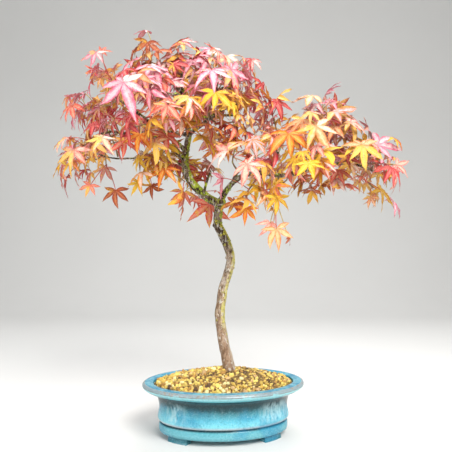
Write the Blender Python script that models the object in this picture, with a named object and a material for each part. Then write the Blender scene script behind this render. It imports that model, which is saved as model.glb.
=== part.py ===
"""Japanese maple bonsai in an oval glazed pot, with autumn leaves.

Blender works in metres. Routes and places that were chosen by hand are written in millimetres and
turned into metres by mm(). Tree places are (right, away, up) from the middle of the pot's foot, as
seen from the tree's front, which is turned a little from the pot's long side.
"""
import math
import random
from typing import NamedTuple

import bpy
from mathutils import Matrix, Vector
from mathutils.bvhtree import BVHTree

MM = 0.001
UP = Vector((0, 0, 1))

# Pot
POT_LENGTH = 209
POT_DEPTH = 144
POT_SEGMENTS = 24
# Pairs of inset from the rim's outline and height above the table
POT_OUTSIDE = (
    (24, 7), (21.5, 8.5), (20.9, 13), (21.5, 18), (23.3, 19.5), (21, 21.5), (19.6, 25), (20.4, 31),
    (21.4, 37), (20.6, 45), (17.5, 53), (12.8, 57), (7, 58.7), (3.5, 60.7), (0.8, 63), (0, 65.2),
    (0.8, 67.2), (2.2, 68.2), (5, 69), (12.5, 68.6), (14, 67.4),
)
POT_INSIDE = ((14.6, 64), (20, 57), (27, 47), (28, 37), (28, 17), (33, 14))
FOOT_ANGLES = (40, 140, 220, 320)
FOOT_HALF_SPAN = 13
FOOT_INSETS = (25, 33)
FOOT_SUNK = 1
FOOT_STEPS = 4
DRAIN_RADIUS = 8
DRAIN_OFFSET = 35
DRAIN_SIDES = 14
DRILL_PAST = 3

# Drain screens
SCREEN_SIZE = 28
SCREEN_THICKNESS = 1
SCREEN_HOLES = 2
SCREEN_BAR = 3.2

# Soil
GAP = 0.3
SOIL_EDGE = 66
SOIL_MOUND = 82
SOIL_FALL = 1.6
SOIL_RINGS = 8
SOIL_GRAIN = 1.2
STUMP_BOTTOM = 30
STUMP_GAP = 0.4
POCKET_PAST = 2

# Trunk, limbs and branches: places of the middle line, then radii spread evenly from root to tip
TREE_TURN = math.radians(-5)
TRUNK_SIDES = 10
LIMB_SIDES = 8
BRANCH_SIDES = 5
TRUNK_ROUTE = (
    (7, 0, STUMP_BOTTOM + 0.5), (7, 0, 68), (7, 0, 84), (2, 0, 107), (-2, 0, 129), (-5, 0, 153),
    (-3, 0, 172), (0, 0, 190), (6, 0, 209), (9, 0, 224), (7, 0, 237), (2, 0, 250), (-4, 0, 262),
    (-8, 0, 272), (-7, 0, 285), (-6, 0, 297),
)
TRUNK_RADII = (8.2, 8.2, 8.2, 7.1, 6.8, 6.5, 6.3, 6.1, 5.9, 5.7, 5.7, 6.2, 6.1, 5.7, 5.7, 5.7)
LEFT_ROUTE = (
    (-6, 0, 290), (-9, 0, 298), (-21, -2, 305), (-33, -5, 315), (-43, -8, 326), (-48, -8, 340),
    (-50, -5, 355), (-48, 0, 371), (-46, 5, 388), (-48, 8, 406), (-52, 8, 424), (-54, 5, 444),
    (-55, 0, 460), (-50, 0, 476),
)
LEFT_RADII = (5.6, 5.5, 4.9, 4, 2.8, 1.5)
RIGHT_ROUTE = (
    (-7, 0, 290), (-5, 0, 298), (-2, -2, 304), (4, -6, 314), (12, -10, 323), (23, -14, 330),
    (36, -16, 333), (51, -16, 334), (69, -14, 331), (87, -10, 333), (108, -6, 340), (133, 0, 346),
    (157, 4, 351), (181, 4, 347), (198, 0, 338),
)
RIGHT_RADII = (4.5, 3.5, 2.9, 2.3, 1.6)
BRANCH_RADII = (3, 1.5)
BRANCH_ROUTES = (
    ((-50, -6, 351), (-58, -10, 360), (-68, -18, 369), (-84, -32, 374), (-108, -48, 374),
     (-135, -56, 374), (-158, -50, 366)),
    ((-49, -3, 364), (-62, -3, 377), (-90, -14, 396), (-118, -22, 416), (-140, -22, 430)),
    ((-46, 5, 388), (-75, 35, 400), (-110, 60, 408), (-138, 72, 402), (-154, 72, 396)),
    ((-48, 8, 406), (-50, -22, 416), (-54, -45, 422), (-60, -62, 416)),
    ((-46, 5, 388), (-24, -15, 398), (0, -30, 410), (18, -38, 414)),
    ((-48, 8, 406), (-20, 30, 420), (5, 48, 428), (30, 58, 430)),
    ((-52, 8, 424), (-25, 5, 440), (0, 2, 448), (22, 0, 446)),
    ((-52, 8, 424), (-60, 40, 438), (-72, 62, 444), (-90, 76, 446)),
    ((-54, 5, 444), (-72, -5, 456), (-90, -8, 464)),
    ((51, -16, 334), (60, -8, 348), (72, 2, 368), (78, 10, 392)),
    ((87, -10, 333), (100, -28, 344), (112, -44, 352), (124, -52, 354)),
    ((108, -6, 340), (122, 5, 362), (132, 12, 384), (138, 18, 402)),
    ((87, -10, 333), (98, 26, 348), (112, 54, 360)),
    ((36, -16, 333), (44, 20, 346), (48, 46, 360)),
    ((12, -10, 323), (18, -34, 334), (28, -46, 336)),
    ((157, 4, 351), (172, -18, 356), (184, -28, 354)),
)
THIN_RADII = (1.9, 1)
THIN_ROUTES = (
    ((-48, -8, 343), (-68, -14, 350), (-92, -22, 352), (-116, -26, 350), (-138, -28, 350),
     (-158, -28, 356)),
)
STUB_ROUTE = ((-25, -3, 308), (-24, -9, 315), (-21, -12, 325), (-16, -14, 337))
STUB_RADII = (2.4, 1.5)

# Twigs
TWIG_SIDES = 4
TWIG_STEPS = 3
TWIG_RADII = (1.3, 0.8)
TWIG_LENGTH = 42
TWIG_ARCH = 0.3
TWIG_NOD = 0.25
TWIGS_FROM = 0.3
FALLING_COST = 15
LEAST_SQUARE = 0.25
ROOT_GAP = 0.4

# Leaves, for a middle lobe of length 1; angles run from the middle lobe to the right
LOBE_ANGLES = (104, 52, 0, -52, -104)
LOBE_LENGTHS = (0.76, 0.95, 1, 0.95, 0.76)
SINUS_REACH = (0.21, 0.24, 0.24, 0.21)
PLAIN_SINUS_SCALE = 1.2
SHOULDER_AT = 0.48
SHOULDER_HALF = 0.125
SHOULDER_RAISE = 0.05
DROOP_POWER = 1.6
DROOP_PULL = 0.6
HUB_AT = 0.06
LEAF_THICKNESS = 0.8
STALK_HALF = 0.6
STALK_LENGTHS = (14, 26)
STALK_BEND_AT = 0.45
STALK_BEND = 0.2
LEAF_SIZES = (25, 32)
LEAF_DROOPS = (0.2, 0.55)
LEAF_SPREADS = (0.76, 1.04)
HAND_DROOP = 0.3
DETAILED_FROM = 24
LEAF_PLACES = (0.97, 0.97, 0.74, 0.74, 0.5, 0.5)
HAND_PLACES = (0.97, 0.75, 0.55)
CLEARANCE = 0.7
CROWN_LEFT = Vector((-60, 0, 0))
CROWN_RIGHT = Vector((150, 0, 0))
CROWN_SPLIT = 60
# Air about the fork where the rule puts no leaf, so that the limbs show: lowest, highest corner
WINDOWS = (((-62, -200, 262), (-2, 8, 372)), ((-2, -200, 262), (26, 8, 338)),
           ((-50, 20, 375), (-26, 200, 428)))
MOST_BENT = 0.35
TRIES = 80
TRIES_A_SIZE = 20
SHRINK = 0.93
SAMPLES_A_SPAN = 3
# How a petiole, a face and a middle lobe take their directions, as shares of each wish
STALK_OUT = 0.8
STALK_AHEAD = 0.5
STALK_RISE = 0.1
STALK_WANDER = 0.6
FACE_RISE = 0.8
FACE_WANDER = 0.5
LOBE_ONWARD = 0.6
LOBE_FALL = 0.8
LOBE_OUT = 0.4
LOBE_WANDER = 0.4
NUDGES = (0, 5, -5, 10, -10, 15, -15, 20, -20, 26, -26)
SEED = 11

LEAF_COLORS = {
    "pink": (0.80, 0.36, 0.34),
    "crimson": (0.62, 0.10, 0.09),
    "coral": (0.78, 0.27, 0.16),
    "orange": (0.80, 0.33, 0.09),
    "peach": (0.85, 0.52, 0.32),
    "gold": (0.84, 0.58, 0.17),
    "blush": (0.83, 0.47, 0.34),
    "russet": (0.36, 0.15, 0.07),
}


class Blade(NamedTuple):
    """A leaf placed by hand: hub, length, and in degrees its lobe's aim and its face's turn and lift."""
    hub: tuple
    size: float
    aim: float
    turn: float
    lift: float


class Spray(NamedTuple):
    """A leafy twig: its tip, its colour, how many leaves the rule adds, and leaves set by hand."""
    name: str
    tip: tuple
    tone: str
    leaves: int
    blades: tuple = ()


class Leaf(NamedTuple):
    """A leaf in its place: foot of the blade, middle lobe, upper face, length, droop, spread, root."""
    foot: Vector
    along: Vector
    face: Vector
    size: float
    droop: float
    spread: float
    root: Vector
    detailed: bool


class Solid(NamedTuple):
    """A mesh that later leaves stay clear of."""
    owner: str
    kind: str
    middle: Vector
    reach: float
    tree: BVHTree


SPRAYS = (
    Spray("crown_left", (-94, -10, 477), "russet", 1, (
        Blade((-97, -15, 514), 22, 175, 0, 70),
        Blade((-96, -15, 500), 27, -95, 10, 8))),
    Spray("crown_mid", (-60, 5, 489), "crimson", 2, (Blade((-70, -10, 492), 34, 38, -70, 40),)),
    Spray("crown_right", (-18, -12, 475), "pink", 2, (
        Blade((-16, -20, 489), 25, -95, 0, 40),
        Blade((-38, -34, 475), 28, -75, 0, 45))),
    Spray("dome_right", (16, 0, 469), "pink", 2, (
        Blade((37, 0, 484), 20, -95, 10, 30),
        Blade((4, -15, 482), 25, -80, 0, 35),
        Blade((49, 0, 454), 22, -88, 50, 5))),
    Spray("dome_front_right", (-2, -45, 435), "pink", 2, (
        Blade((-13, -75, 439), 34, -85, 0, 42),
        Blade((9, -50, 450), 34, -58, 35, 10))),
    Spray("shoulder_left", (-148, -10, 462), "pink", 0, (
        Blade((-157, -30, 480), 24, -100, -10, 25),
        Blade((-154, -15, 488), 14, 70, 0, 20),
        Blade((-164, -20, 462), 15, -100, 55, 10))),
    Spray("big_leaf", (-100, -70, 427), "pink", 2, (Blade((-105, -110, 411), 39, -76, -5, 15),)),
    Spray("left_high", (-175, -15, 416), "pink", 2, (Blade((-187, -30, 414), 28, -120, -30, 25),)),
    Spray("left_mid", (-142, -45, 385), "crimson", 2, (
        Blade((-153, -50, 385), 25, -140, -20, 40),
        Blade((-133, -80, 358), 25, -105, 0, 38),
        Blade((-114, -64, 362), 25, -92, 10, 22))),
    Spray("left_low", (-173, -35, 363), "blush", 1, (Blade((-174, -60, 352), 30, -95, -10, 20),)),
    Spray("left_end", (-195, -5, 350), "crimson", 2, (Blade((-203, -20, 338), 25, -112, -60, 10),)),
    Spray("left_under", (-146, -25, 341), "russet", 0, (
        Blade((-158, -50, 313), 18, -110, 0, 15),
        Blade((-153, 0, 344), 22, -110, 0, 20),
        Blade((-133, -30, 310), 24, -90, 0, 15))),
    Spray("under_mid", (-96, -35, 341), "gold", 1, (
        Blade((-103, -40, 317), 19, -120, 0, 20),
        Blade((-90, -20, 317), 18, -90, 0, 15))),
    Spray("front_left", (-83, -75, 378), "orange", 2, (
        Blade((-67, -62, 369), 28, -92, 10, 22),
        Blade((-95, -72, 367), 26, -100, -5, 25),
        Blade((-78, -66, 358), 25, -84, -10, 12))),
    Spray("front_mid", (-54, -75, 396), "coral", 2, (Blade((-59, -105, 388), 27, -100, 0, 38),)),
    Spray("front_low", (-37, -60, 378), "orange", 3),
    Spray("front_gold", (-11, -60, 410), "gold", 1, (Blade((-8, -92, 409), 29, -95, 0, 25),)),
    Spray("inner_right", (20, -35, 392), "crimson", 3),
    Spray("top_pale", (-79, -40, 444), "pink", 2, (Blade((-84, -70, 446), 28, -60, 10, 50),)),
    Spray("neck_right", (60, -5, 420), "crimson", 2, (Blade((66, -30, 419), 26, -75, 0, 20),)),
    Spray("saddle", (73, -40, 376), "orange", 2, (Blade((74, -75, 367), 36, -90, 0, 28),)),
    Spray("right_top", (128, 0, 420), "pink", 1, (
        Blade((111, -20, 430), 34, -150, -10, 60),
        Blade((136, 0, 432), 28, -20, 10, 58))),
    Spray("right_star", (113, -45, 387), "peach", 2, (Blade((104, -80, 374), 31, -65, 0, 18),)),
    Spray("right_gold", (99, -60, 345), "gold", 2, (Blade((93, -95, 329), 28, -80, 0, 45),)),
    Spray("right_peach", (156, -20, 392), "peach", 2, (Blade((150, -50, 388), 27, -20, 10, 45),)),
    Spray("right_fall", (156, -45, 362), "peach", 2, (Blade((157, -75, 354), 33, -82, 10, 20),)),
    Spray("right_inner", (141, -15, 330), "coral", 1),
    Spray("right_end_high", (198, -10, 367), "pink", 1, (Blade((190, -30, 366), 34, -12, -10, 22),)),
    Spray("right_end", (200, -30, 342), "coral", 1, (Blade((212, -42, 341), 24, -35, 10, 20),)),
    Spray("right_end_low", (195, 0, 318), "blush", 0, (
        Blade((215, -10, 301), 27, -52, 70, 38),
        Blade((184, -20, 303), 17, -60, 0, 20))),
    Spray("heart_peach", (14, -70, 354), "peach", 1, (Blade((5, -102, 341), 36, 130, -30, 40),)),
    Spray("heart_coral", (38, -58, 345), "coral", 1, (Blade((26, -85, 330), 29, -50, 0, 25),)),
    Spray("under_left", (27, -40, 302), "orange", 0, (
        Blade((26, -60, 284), 24, -95, 0, 10),
        Blade((13, -45, 293), 22, -115, -10, 15),
        Blade((-3, -28, 325), 27, -98, 68, 5))),
    Spray("under_right", (63, -40, 309), "gold", 2, (Blade((62, -62, 296), 23, -90, 0, 25),)),
    Spray("drop", (64, -50, 289), "peach", 0, (
        Blade((60, -75, 259), 27, -75, 0, 8),
        Blade((78, -46, 251), 11, -50, 50, 10))),
    Spray("olive", (113, -14, 315), "russet", 0, (Blade((111, -20, 311), 20, -60, 0, 10),)),
    Spray("trunk_coral", (-30, 20, 303), "coral", 0, (Blade((-19, 15, 298), 39, -97, 0, 10),)),
    Spray("fork_behind", (-34, 42, 352), "russet", 0, (
        Blade((-29, 45, 347), 19, -75, 10, 20),
        Blade((-42, 40, 335), 20, -60, -10, 25))),
    Spray("trunk_thin", (-48, -20, 322), "orange", 0, (Blade((-50, -30, 309), 38, -104, 80, 5),)),
    Spray("behind_neck", (-78, 20, 362), "russet", 1, (Blade((-61, 8, 354), 31, -82, 0, 20),)),
    Spray("back_left_high", (-162, 60, 440), "crimson", 3),
    Spray("back_left", (-180, 60, 385), "orange", 2),
    Spray("back_crown", (-107, 60, 480), "crimson", 3),
    Spray("back_mid", (-114, 100, 427), "coral", 2),
    Spray("back_top", (-41, 50, 484), "pink", 3),
    Spray("back_heart", (-37, 95, 450), "crimson", 1),
    Spray("back_shoulder", (30, 62, 465), "crimson", 3),
    Spray("back_waist", (-8, 76, 400), "orange", 3),
    Spray("back_neck", (84, 52, 405), "coral", 2),
    Spray("back_right_top", (146, 50, 424), "crimson", 3),
    Spray("back_right", (180, 45, 380), "orange", 2),
    Spray("back_right_end", (214, 32, 360), "peach", 1),
    Spray("back_under", (66, 72, 350), "gold", 2),
    Spray("back_right_low", (128, 80, 368), "coral", 2),
)


# Small helpers

def mm(x, y, z):
    return Vector((x, y, z)) * MM


def route(points):
    return [mm(*point) for point in points]


def blend(a, b, t):
    return a + (b - a) * t


def clear_scene():
    for obj in list(bpy.data.objects):
        bpy.data.objects.remove(obj, do_unlink=True)


def material(name, color, roughness=0.6):
    """Principled material of one colour; a second call with the same name returns the first."""
    found = bpy.data.materials.get(name)
    if found:
        return found
    made = bpy.data.materials.new(name)
    made.use_nodes = True
    shader = made.node_tree.nodes["Principled BSDF"]
    shader.inputs["Base Color"].default_value = (*color, 1)
    shader.inputs["Roughness"].default_value = roughness
    made.diffuse_color = (*color, 1)
    return made


def add_object(name, verts, faces, look, smooth=False):
    mesh = bpy.data.meshes.new(name)
    mesh.from_pydata([tuple(vert) for vert in verts], [], faces)
    mesh.materials.append(look)
    if smooth:
        mesh.shade_smooth()
    made = bpy.data.objects.new(name, mesh)
    bpy.context.scene.collection.objects.link(made)
    return made


def skin(rings):
    """One closed shell through rings that turn left about the way they run, capped at both ends."""
    count = len(rings[0])
    verts = [point for ring in rings for point in ring]
    faces = [tuple(reversed(range(count)))]
    for row in range(len(rings) - 1):
        low = row * count
        for k in range(count):
            nxt = (k + 1) % count
            faces.append((low + k, low + nxt, low + count + nxt, low + count + k))
    last = (len(rings) - 1) * count
    faces.append(tuple(range(last, last + count)))
    return verts, faces


def combine(base, others, operation, solver="EXACT"):
    """Applies one Boolean of every other object on the base, then removes the others."""
    group = bpy.data.collections.new("operands")
    bpy.context.scene.collection.children.link(group)
    for obj in others:
        bpy.context.scene.collection.objects.unlink(obj)
        group.objects.link(obj)
    cut = base.modifiers.new("combine", "BOOLEAN")
    cut.operation = operation
    cut.operand_type = "COLLECTION"
    cut.collection = group
    cut.solver = solver
    graph = bpy.context.evaluated_depsgraph_get()
    result = bpy.data.meshes.new_from_object(base.evaluated_get(graph))
    base.modifiers.remove(cut)
    base.data = result
    for obj in others:
        bpy.data.objects.remove(obj, do_unlink=True)
    bpy.data.collections.remove(group)


# Pot, drain screens and soil

def ellipse(inset, height, segments=POT_SEGMENTS):
    """Ring of the pot at an inset from the rim's outline, counter-clockwise from above."""
    ring = []
    for k in range(segments):
        angle = math.tau * k / segments
        x = (POT_LENGTH / 2 - inset) * math.cos(angle)
        y = (POT_DEPTH / 2 - inset) * math.sin(angle)
        ring.append(mm(x, y, height))
    return ring


def foot(number, middle, look):
    """Short curved foot that follows the pot's outline and runs up into its base."""
    rings = []
    outer, inner = FOOT_INSETS
    top = POT_OUTSIDE[0][1] + FOOT_SUNK
    for step in range(FOOT_STEPS + 1):
        angle = math.radians(middle + FOOT_HALF_SPAN * (2 * step / FOOT_STEPS - 1))
        corners = []
        for inset, height in ((inner, 0), (outer, 0), (outer, top), (inner, top)):
            x = (POT_LENGTH / 2 - inset) * math.cos(angle)
            y = (POT_DEPTH / 2 - inset) * math.sin(angle)
            corners.append(mm(x, y, height))
        rings.append(corners[::-1])
    return add_object(f"foot_{number}", *skin(rings), look)


def disc(middle, radius, height, sides):
    ring = []
    for k in range(sides):
        angle = math.tau * k / sides
        ring.append(mm(middle + radius * math.cos(angle), radius * math.sin(angle), height))
    return ring


def make_pot():
    look = material("turquoise_glaze", (0.12, 0.50, 0.55), 0.2)
    rings = [ellipse(inset, height) for inset, height in POT_OUTSIDE + POT_INSIDE]
    pot = add_object("pot", *skin(rings), look, smooth=True)
    combine(pot, [foot(number, angle, look) for number, angle in enumerate(FOOT_ANGLES)], "UNION")
    drills = []
    floor = POT_INSIDE[-1][1]
    for side in (-1, 1):
        heights = (0, floor + DRILL_PAST)
        rings = [disc(side * DRAIN_OFFSET, DRAIN_RADIUS, height, DRAIN_SIDES) for height in heights]
        drills.append(add_object(f"drill_{side + 1}", *skin(rings), look))
    combine(pot, drills, "DIFFERENCE")


def make_screen(name, middle):
    """Square plastic screen with a grid of square holes, lying over a drain hole."""
    look = material("screen_plastic", (0.03, 0.03, 0.03), 0.5)
    lines = [-SCREEN_SIZE / 2]
    hole = (SCREEN_SIZE - SCREEN_BAR * (SCREEN_HOLES + 1)) / SCREEN_HOLES
    for _ in range(SCREEN_HOLES):
        lines.append(lines[-1] + SCREEN_BAR)
        lines.append(lines[-1] + hole)
    lines.append(SCREEN_SIZE / 2)
    floor = POT_INSIDE[-1][1] + GAP
    verts = [mm(middle + x, y, floor) for y in lines for x in lines]
    count = len(lines)
    faces = []
    for row in range(count - 1):
        for column in range(count - 1):
            if row % 2 and column % 2:
                continue
            corner = row * count + column
            faces.append((corner, corner + 1, corner + count + 1, corner + count))
    screen = add_object(name, verts, faces, look)
    shell = screen.modifiers.new("thickness", "SOLIDIFY")
    shell.thickness = SCREEN_THICKNESS * MM
    shell.offset = 1
    return screen


def soil_height(share):
    """Height of the mound, from 0 at the trunk to 1 at the pot's wall."""
    return blend(SOIL_MOUND, SOIL_EDGE, share ** SOIL_FALL)


def make_soil():
    """Mound with a grainy top, filling the pot, with a blind hole for the stump."""
    look = material("soil_granules", (0.50, 0.32, 0.13), 0.95)
    floor = POT_INSIDE[-1][1] + GAP
    rings = [ellipse(POT_INSIDE[-1][0] + GAP, floor)]
    rings += [ellipse(inset + GAP, height) for inset, height in reversed(POT_INSIDE[:-1])]
    edge = ellipse(POT_INSIDE[0][0] + GAP, SOIL_EDGE)
    stem = tree_place(mm(*TRUNK_ROUTE[1]))
    hole = []
    for k in range(POT_SEGMENTS):
        angle = math.tau * k / POT_SEGMENTS
        radius = TRUNK_RADII[0] + STUMP_GAP
        hole.append(Vector((stem.x, stem.y, 0)) + mm(math.cos(angle), math.sin(angle), 0) * radius)
    for step in range(SOIL_RINGS, -1, -1):
        share = step / SOIL_RINGS
        ring = []
        for k in range(POT_SEGMENTS):
            height = soil_height(share)
            if 0 < step < SOIL_RINGS:
                height += SOIL_GRAIN * (-1) ** (k + step)
            place = blend(hole[k], edge[k], share)
            ring.append(Vector((place.x, place.y, height * MM)))
        rings.append(ring)
    rings.append([Vector((place.x, place.y, STUMP_BOTTOM * MM)) for place in hole])
    soil = add_object("soil", *skin(rings), look)
    pockets = []
    half = SCREEN_SIZE / 2 + GAP
    for side in (-1, 1):
        corners = ((half, -half), (half, half), (-half, half), (-half, -half))
        heights = (floor - POCKET_PAST, floor + SCREEN_THICKNESS + GAP)
        box = [[mm(side * DRAIN_OFFSET + x, y, height) for x, y in corners] for height in heights]
        pockets.append(add_object(f"pocket_{side + 1}", *skin(box), look))
    combine(soil, pockets, "DIFFERENCE")


# Tubes: trunk, limbs, branches and twigs

def tree_place(point):
    """World place of a point that is given from the tree's front."""
    return Matrix.Rotation(TREE_TURN, 3, "Z") @ point


def directions(points):
    """Unit direction of a route at each of its points."""
    found = []
    for k in range(len(points)):
        before = points[max(k - 1, 0)]
        after = points[min(k + 1, len(points) - 1)]
        found.append((after - before).normalized())
    return found


def radius_at(radii, share):
    """Radius at a share of a route, from radii that are spread evenly along it."""
    spot = share * (len(radii) - 1)
    k = min(int(spot), len(radii) - 2)
    return blend(radii[k], radii[k + 1], spot - k)


def tube(points, radii, sides):
    """Closed tube along a route, its radii spread evenly from the first to the last."""
    aims = directions(points)
    across = aims[0].orthogonal().normalized()
    rings = []
    for k, (point, aim) in enumerate(zip(points, aims)):
        if k:
            across = aims[k - 1].rotation_difference(aim) @ across
        across = (across - aim * across.dot(aim)).normalized()
        other = aim.cross(across)
        radius = radius_at(radii, k / (len(points) - 1)) * MM
        ring = []
        for side in range(sides):
            angle = math.tau * side / sides
            ring.append(point + (across * math.cos(angle) + other * math.sin(angle)) * radius)
        rings.append(ring)
    return skin(rings)


def wood_tubes():
    """Every tube of the grown wood: (route, radii, sides)."""
    tubes = [
        (route(TRUNK_ROUTE), TRUNK_RADII, TRUNK_SIDES),
        (route(LEFT_ROUTE), LEFT_RADII, LIMB_SIDES),
        (route(RIGHT_ROUTE), RIGHT_RADII, LIMB_SIDES),
        (route(STUB_ROUTE), STUB_RADII, BRANCH_SIDES),
    ]
    tubes += [(route(points), BRANCH_RADII, BRANCH_SIDES) for points in BRANCH_ROUTES]
    tubes += [(route(points), THIN_RADII, BRANCH_SIDES) for points in THIN_ROUTES]
    return tubes


def make_trunk(tubes):
    look = material("bark", (0.23, 0.19, 0.14), 0.9)
    parts = []
    for number, (points, radii, sides) in enumerate(tubes):
        verts, faces = tube(points, radii, sides)
        parts.append(add_object(f"wood_{number}", [tree_place(vert) for vert in verts], faces, look))
    trunk = parts[0]
    trunk.name = "trunk"
    combine(trunk, parts[1:], "UNION")


# Leaves

def lobe_point(angle, along, across=0.0):
    """Point of a leaf, so far along the lobe at an angle and so far to its right."""
    turn = math.radians(angle)
    right = along * math.sin(turn) + across * math.cos(turn)
    ahead = along * math.cos(turn) - across * math.sin(turn)
    return right, ahead


def leaf_outline(leaf):
    """Outline of a leaf of length 1 from the stalk's right side round to its left, with heights."""
    points = []
    angles = [angle * leaf.spread for angle in LOBE_ANGLES]
    for lobe, (angle, length) in enumerate(zip(angles, LOBE_LENGTHS)):
        shoulders = leaf.detailed and 0 < lobe < len(LOBE_ANGLES) - 1
        if shoulders:
            points.append((*lobe_point(angle, length * SHOULDER_AT, SHOULDER_HALF), SHOULDER_RAISE))
        points.append((*lobe_point(angle, length), 0))
        if shoulders:
            points.append((*lobe_point(angle, length * SHOULDER_AT, -SHOULDER_HALF), SHOULDER_RAISE))
        if lobe < len(SINUS_REACH):
            between = (angle + angles[lobe + 1]) / 2
            reach = SINUS_REACH[lobe] * (1 if leaf.detailed else PLAIN_SINUS_SCALE)
            points.append((*lobe_point(between, reach), 0))
    return points


def stalk_rings(leaf, right, grow):
    """Rings of four points from the foot of the blade to the root, without the first."""
    span = leaf.root - leaf.foot
    bend = leaf.foot + span * STALK_BEND_AT - leaf.along * span.length * STALK_BEND
    points = [leaf.foot, bend, leaf.root] if leaf.detailed else [leaf.foot, leaf.root]
    aims = directions(points)
    aims[0] = -leaf.along
    face = leaf.face.copy()
    half = (STALK_HALF + grow) * MM
    thin = (LEAF_THICKNESS / 2 + grow) * MM
    rings = []
    for k in range(1, len(points)):
        turn = aims[k - 1].rotation_difference(aims[k])
        right = turn @ right
        face = turn @ face
        corners = ((1, 1), (-1, 1), (-1, -1), (1, -1))
        rings.append([points[k] + right * half * x + face * thin * z for x, z in corners])
    return rings


def blade_mesh(leaf, grow=0.0):
    """Blade alone, open at the foot: points and faces of its two sides and its edge."""
    right = leaf.along.cross(leaf.face).normalized()
    size = leaf.size * MM
    half = (STALK_HALF + grow) * MM / size
    outline = [(half, 0, 0)] + leaf_outline(leaf) + [(-half, 0, 0)]
    thin = (LEAF_THICKNESS / 2 + grow) * MM
    top = []
    for x, y, raised in [(0, HUB_AT, 0)] + outline:
        reach = math.hypot(x, y)
        height = raised - leaf.droop * reach ** DROOP_POWER
        drawn = 1 - DROOP_PULL * leaf.droop ** 2 * reach
        top.append(leaf.foot + (right * x * drawn + leaf.along * y * drawn + leaf.face * height) * size)
    verts = [point + leaf.face * thin for point in top] + [point - leaf.face * thin for point in top]
    under = len(top)
    last = under - 1
    faces = []
    for k in range(1, last):
        faces.append((0, k, k + 1))
        faces.append((under, under + k + 1, under + k))
        faces.append((k, under + k, under + k + 1))
        faces.append((k, under + k + 1, k + 1))
    faces.append((0, last, 1))
    faces.append((under, under + 1, under + last))
    return verts, faces


def stalk_mesh(leaf, grow=0.0):
    """Petiole alone, open at the blade: its first ring is the foot of the blade."""
    right = leaf.along.cross(leaf.face).normalized()
    half = (STALK_HALF + grow) * MM
    thin = (LEAF_THICKNESS / 2 + grow) * MM
    corners = ((1, 1), (-1, 1), (-1, -1), (1, -1))
    rings = [[leaf.foot + right * half * x + leaf.face * thin * z for x, z in corners]]
    rings += stalk_rings(leaf, right, grow)
    verts, faces = skin(rings)
    return verts, faces[1:]


def leaf_mesh(leaf):
    """Closed solid of a leaf: its blade and its petiole, which share the foot of the blade."""
    verts, faces = blade_mesh(leaf)
    stalk_verts, stalk_faces = stalk_mesh(leaf)
    last = len(verts) // 2 - 1
    under = len(verts) // 2
    shared = [1, last, under + last, under + 1]
    renamed = shared + [len(verts) + k for k in range(len(stalk_verts) - len(shared))]
    verts = verts + stalk_verts[len(shared):]
    return verts, faces + [tuple(renamed[k] for k in face) for face in stalk_faces]


# Places of twigs and leaves

def as_solid(owner, kind, verts, faces):
    middle = sum(verts, Vector()) / len(verts)
    reach = max((vert - middle).length for vert in verts)
    return Solid(owner, kind, middle, reach, BVHTree.FromPolygons(verts, faces))


def crossing(candidate, solids, allowed=()):
    """Whether a solid cuts any other, apart from its own spray's kinds that it may touch."""
    for other in solids:
        if other.owner == candidate.owner and other.kind in allowed:
            continue
        if (other.middle - candidate.middle).length > other.reach + candidate.reach:
            continue
        if candidate.tree.overlap(other.tree):
            return True
    return False


def crown_side(point):
    """Level direction away from the middle of the nearer part of the crown."""
    middle = CROWN_LEFT if point.x < CROWN_SPLIT * MM else CROWN_RIGHT
    away = Vector((point.x - middle.x * MM, point.y - middle.y * MM, 0))
    return away.normalized()


def wood_samples(tubes):
    """Places on the limbs and branches where a twig may leave: (place, direction, radius)."""
    samples = []
    for points, radii, _ in tubes[1:3] + tubes[4:]:
        aims = directions(points)
        spans = len(points) - 1
        for k in range(spans):
            for step in range(SAMPLES_A_SPAN):
                share = (k + step / SAMPLES_A_SPAN) / spans
                if share < TWIGS_FROM:
                    continue
                place = blend(points[k], points[k + 1], step / SAMPLES_A_SPAN)
                samples.append((place, aims[k], radius_at(radii, share)))
    return samples


def twig_route(root, leave, tip):
    """Curve that leaves the wood square to it and arches over to the tip."""
    span = tip - root
    first = root + leave * span.length * TWIG_ARCH
    second = tip - (span.normalized() - UP * TWIG_NOD) * span.length * TWIG_ARCH
    points = []
    for step in range(TWIG_STEPS + 1):
        t = step / TWIG_STEPS
        near = blend(root, first, t)
        mid = blend(first, second, t)
        far = blend(second, tip, t)
        points.append(blend(blend(near, mid, t), blend(mid, far, t), t))
    return points


def place_twig(spray, samples, solids):
    """Route of a spray's twig from the best place on the wood that it can leave clear."""
    tip = mm(*spray.tip)
    ranked = []
    for number, (place, _, _) in enumerate(samples):
        span = tip - place
        falling = max(0, -span.normalized().z)
        ranked.append((abs(span.length - TWIG_LENGTH * MM) + FALLING_COST * MM * falling, number))
    ranked.sort()
    for _, number in ranked:
        place, aim, radius = samples[number]
        span = tip - place
        leave = span - aim * span.dot(aim)
        if leave.length < LEAST_SQUARE * span.length:
            continue
        leave.normalize()
        root = place + leave * (radius + ROOT_GAP) * MM
        points = twig_route(root, leave, tip)
        verts, faces = tube(points, [r + GAP for r in TWIG_RADII], TWIG_SIDES)
        verts = [vert + leave * GAP * MM for vert in verts]
        if not crossing(as_solid(spray.name, "twig", verts, faces), solids):
            return points
    raise RuntimeError(f"No clear place for the twig of {spray.name}")


def on_route(points, share):
    """Place and direction at a share of a route."""
    spot = min(share * (len(points) - 1), len(points) - 1.001)
    k = int(spot)
    return blend(points[k], points[k + 1], spot - k), (points[k + 1] - points[k]).normalized()


def leaf_is_clear(leaf, owner, solids):
    """Whether a leaf has room: its blade from everything, its petiole from the other sprays."""
    blade = as_solid(owner, "blade", *blade_mesh(leaf, CLEARANCE))
    if crossing(blade, solids):
        return False
    stalk = as_solid(owner, "stalk", *stalk_mesh(leaf, GAP))
    return not crossing(stalk, solids, ("twig", "stalk"))


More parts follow.
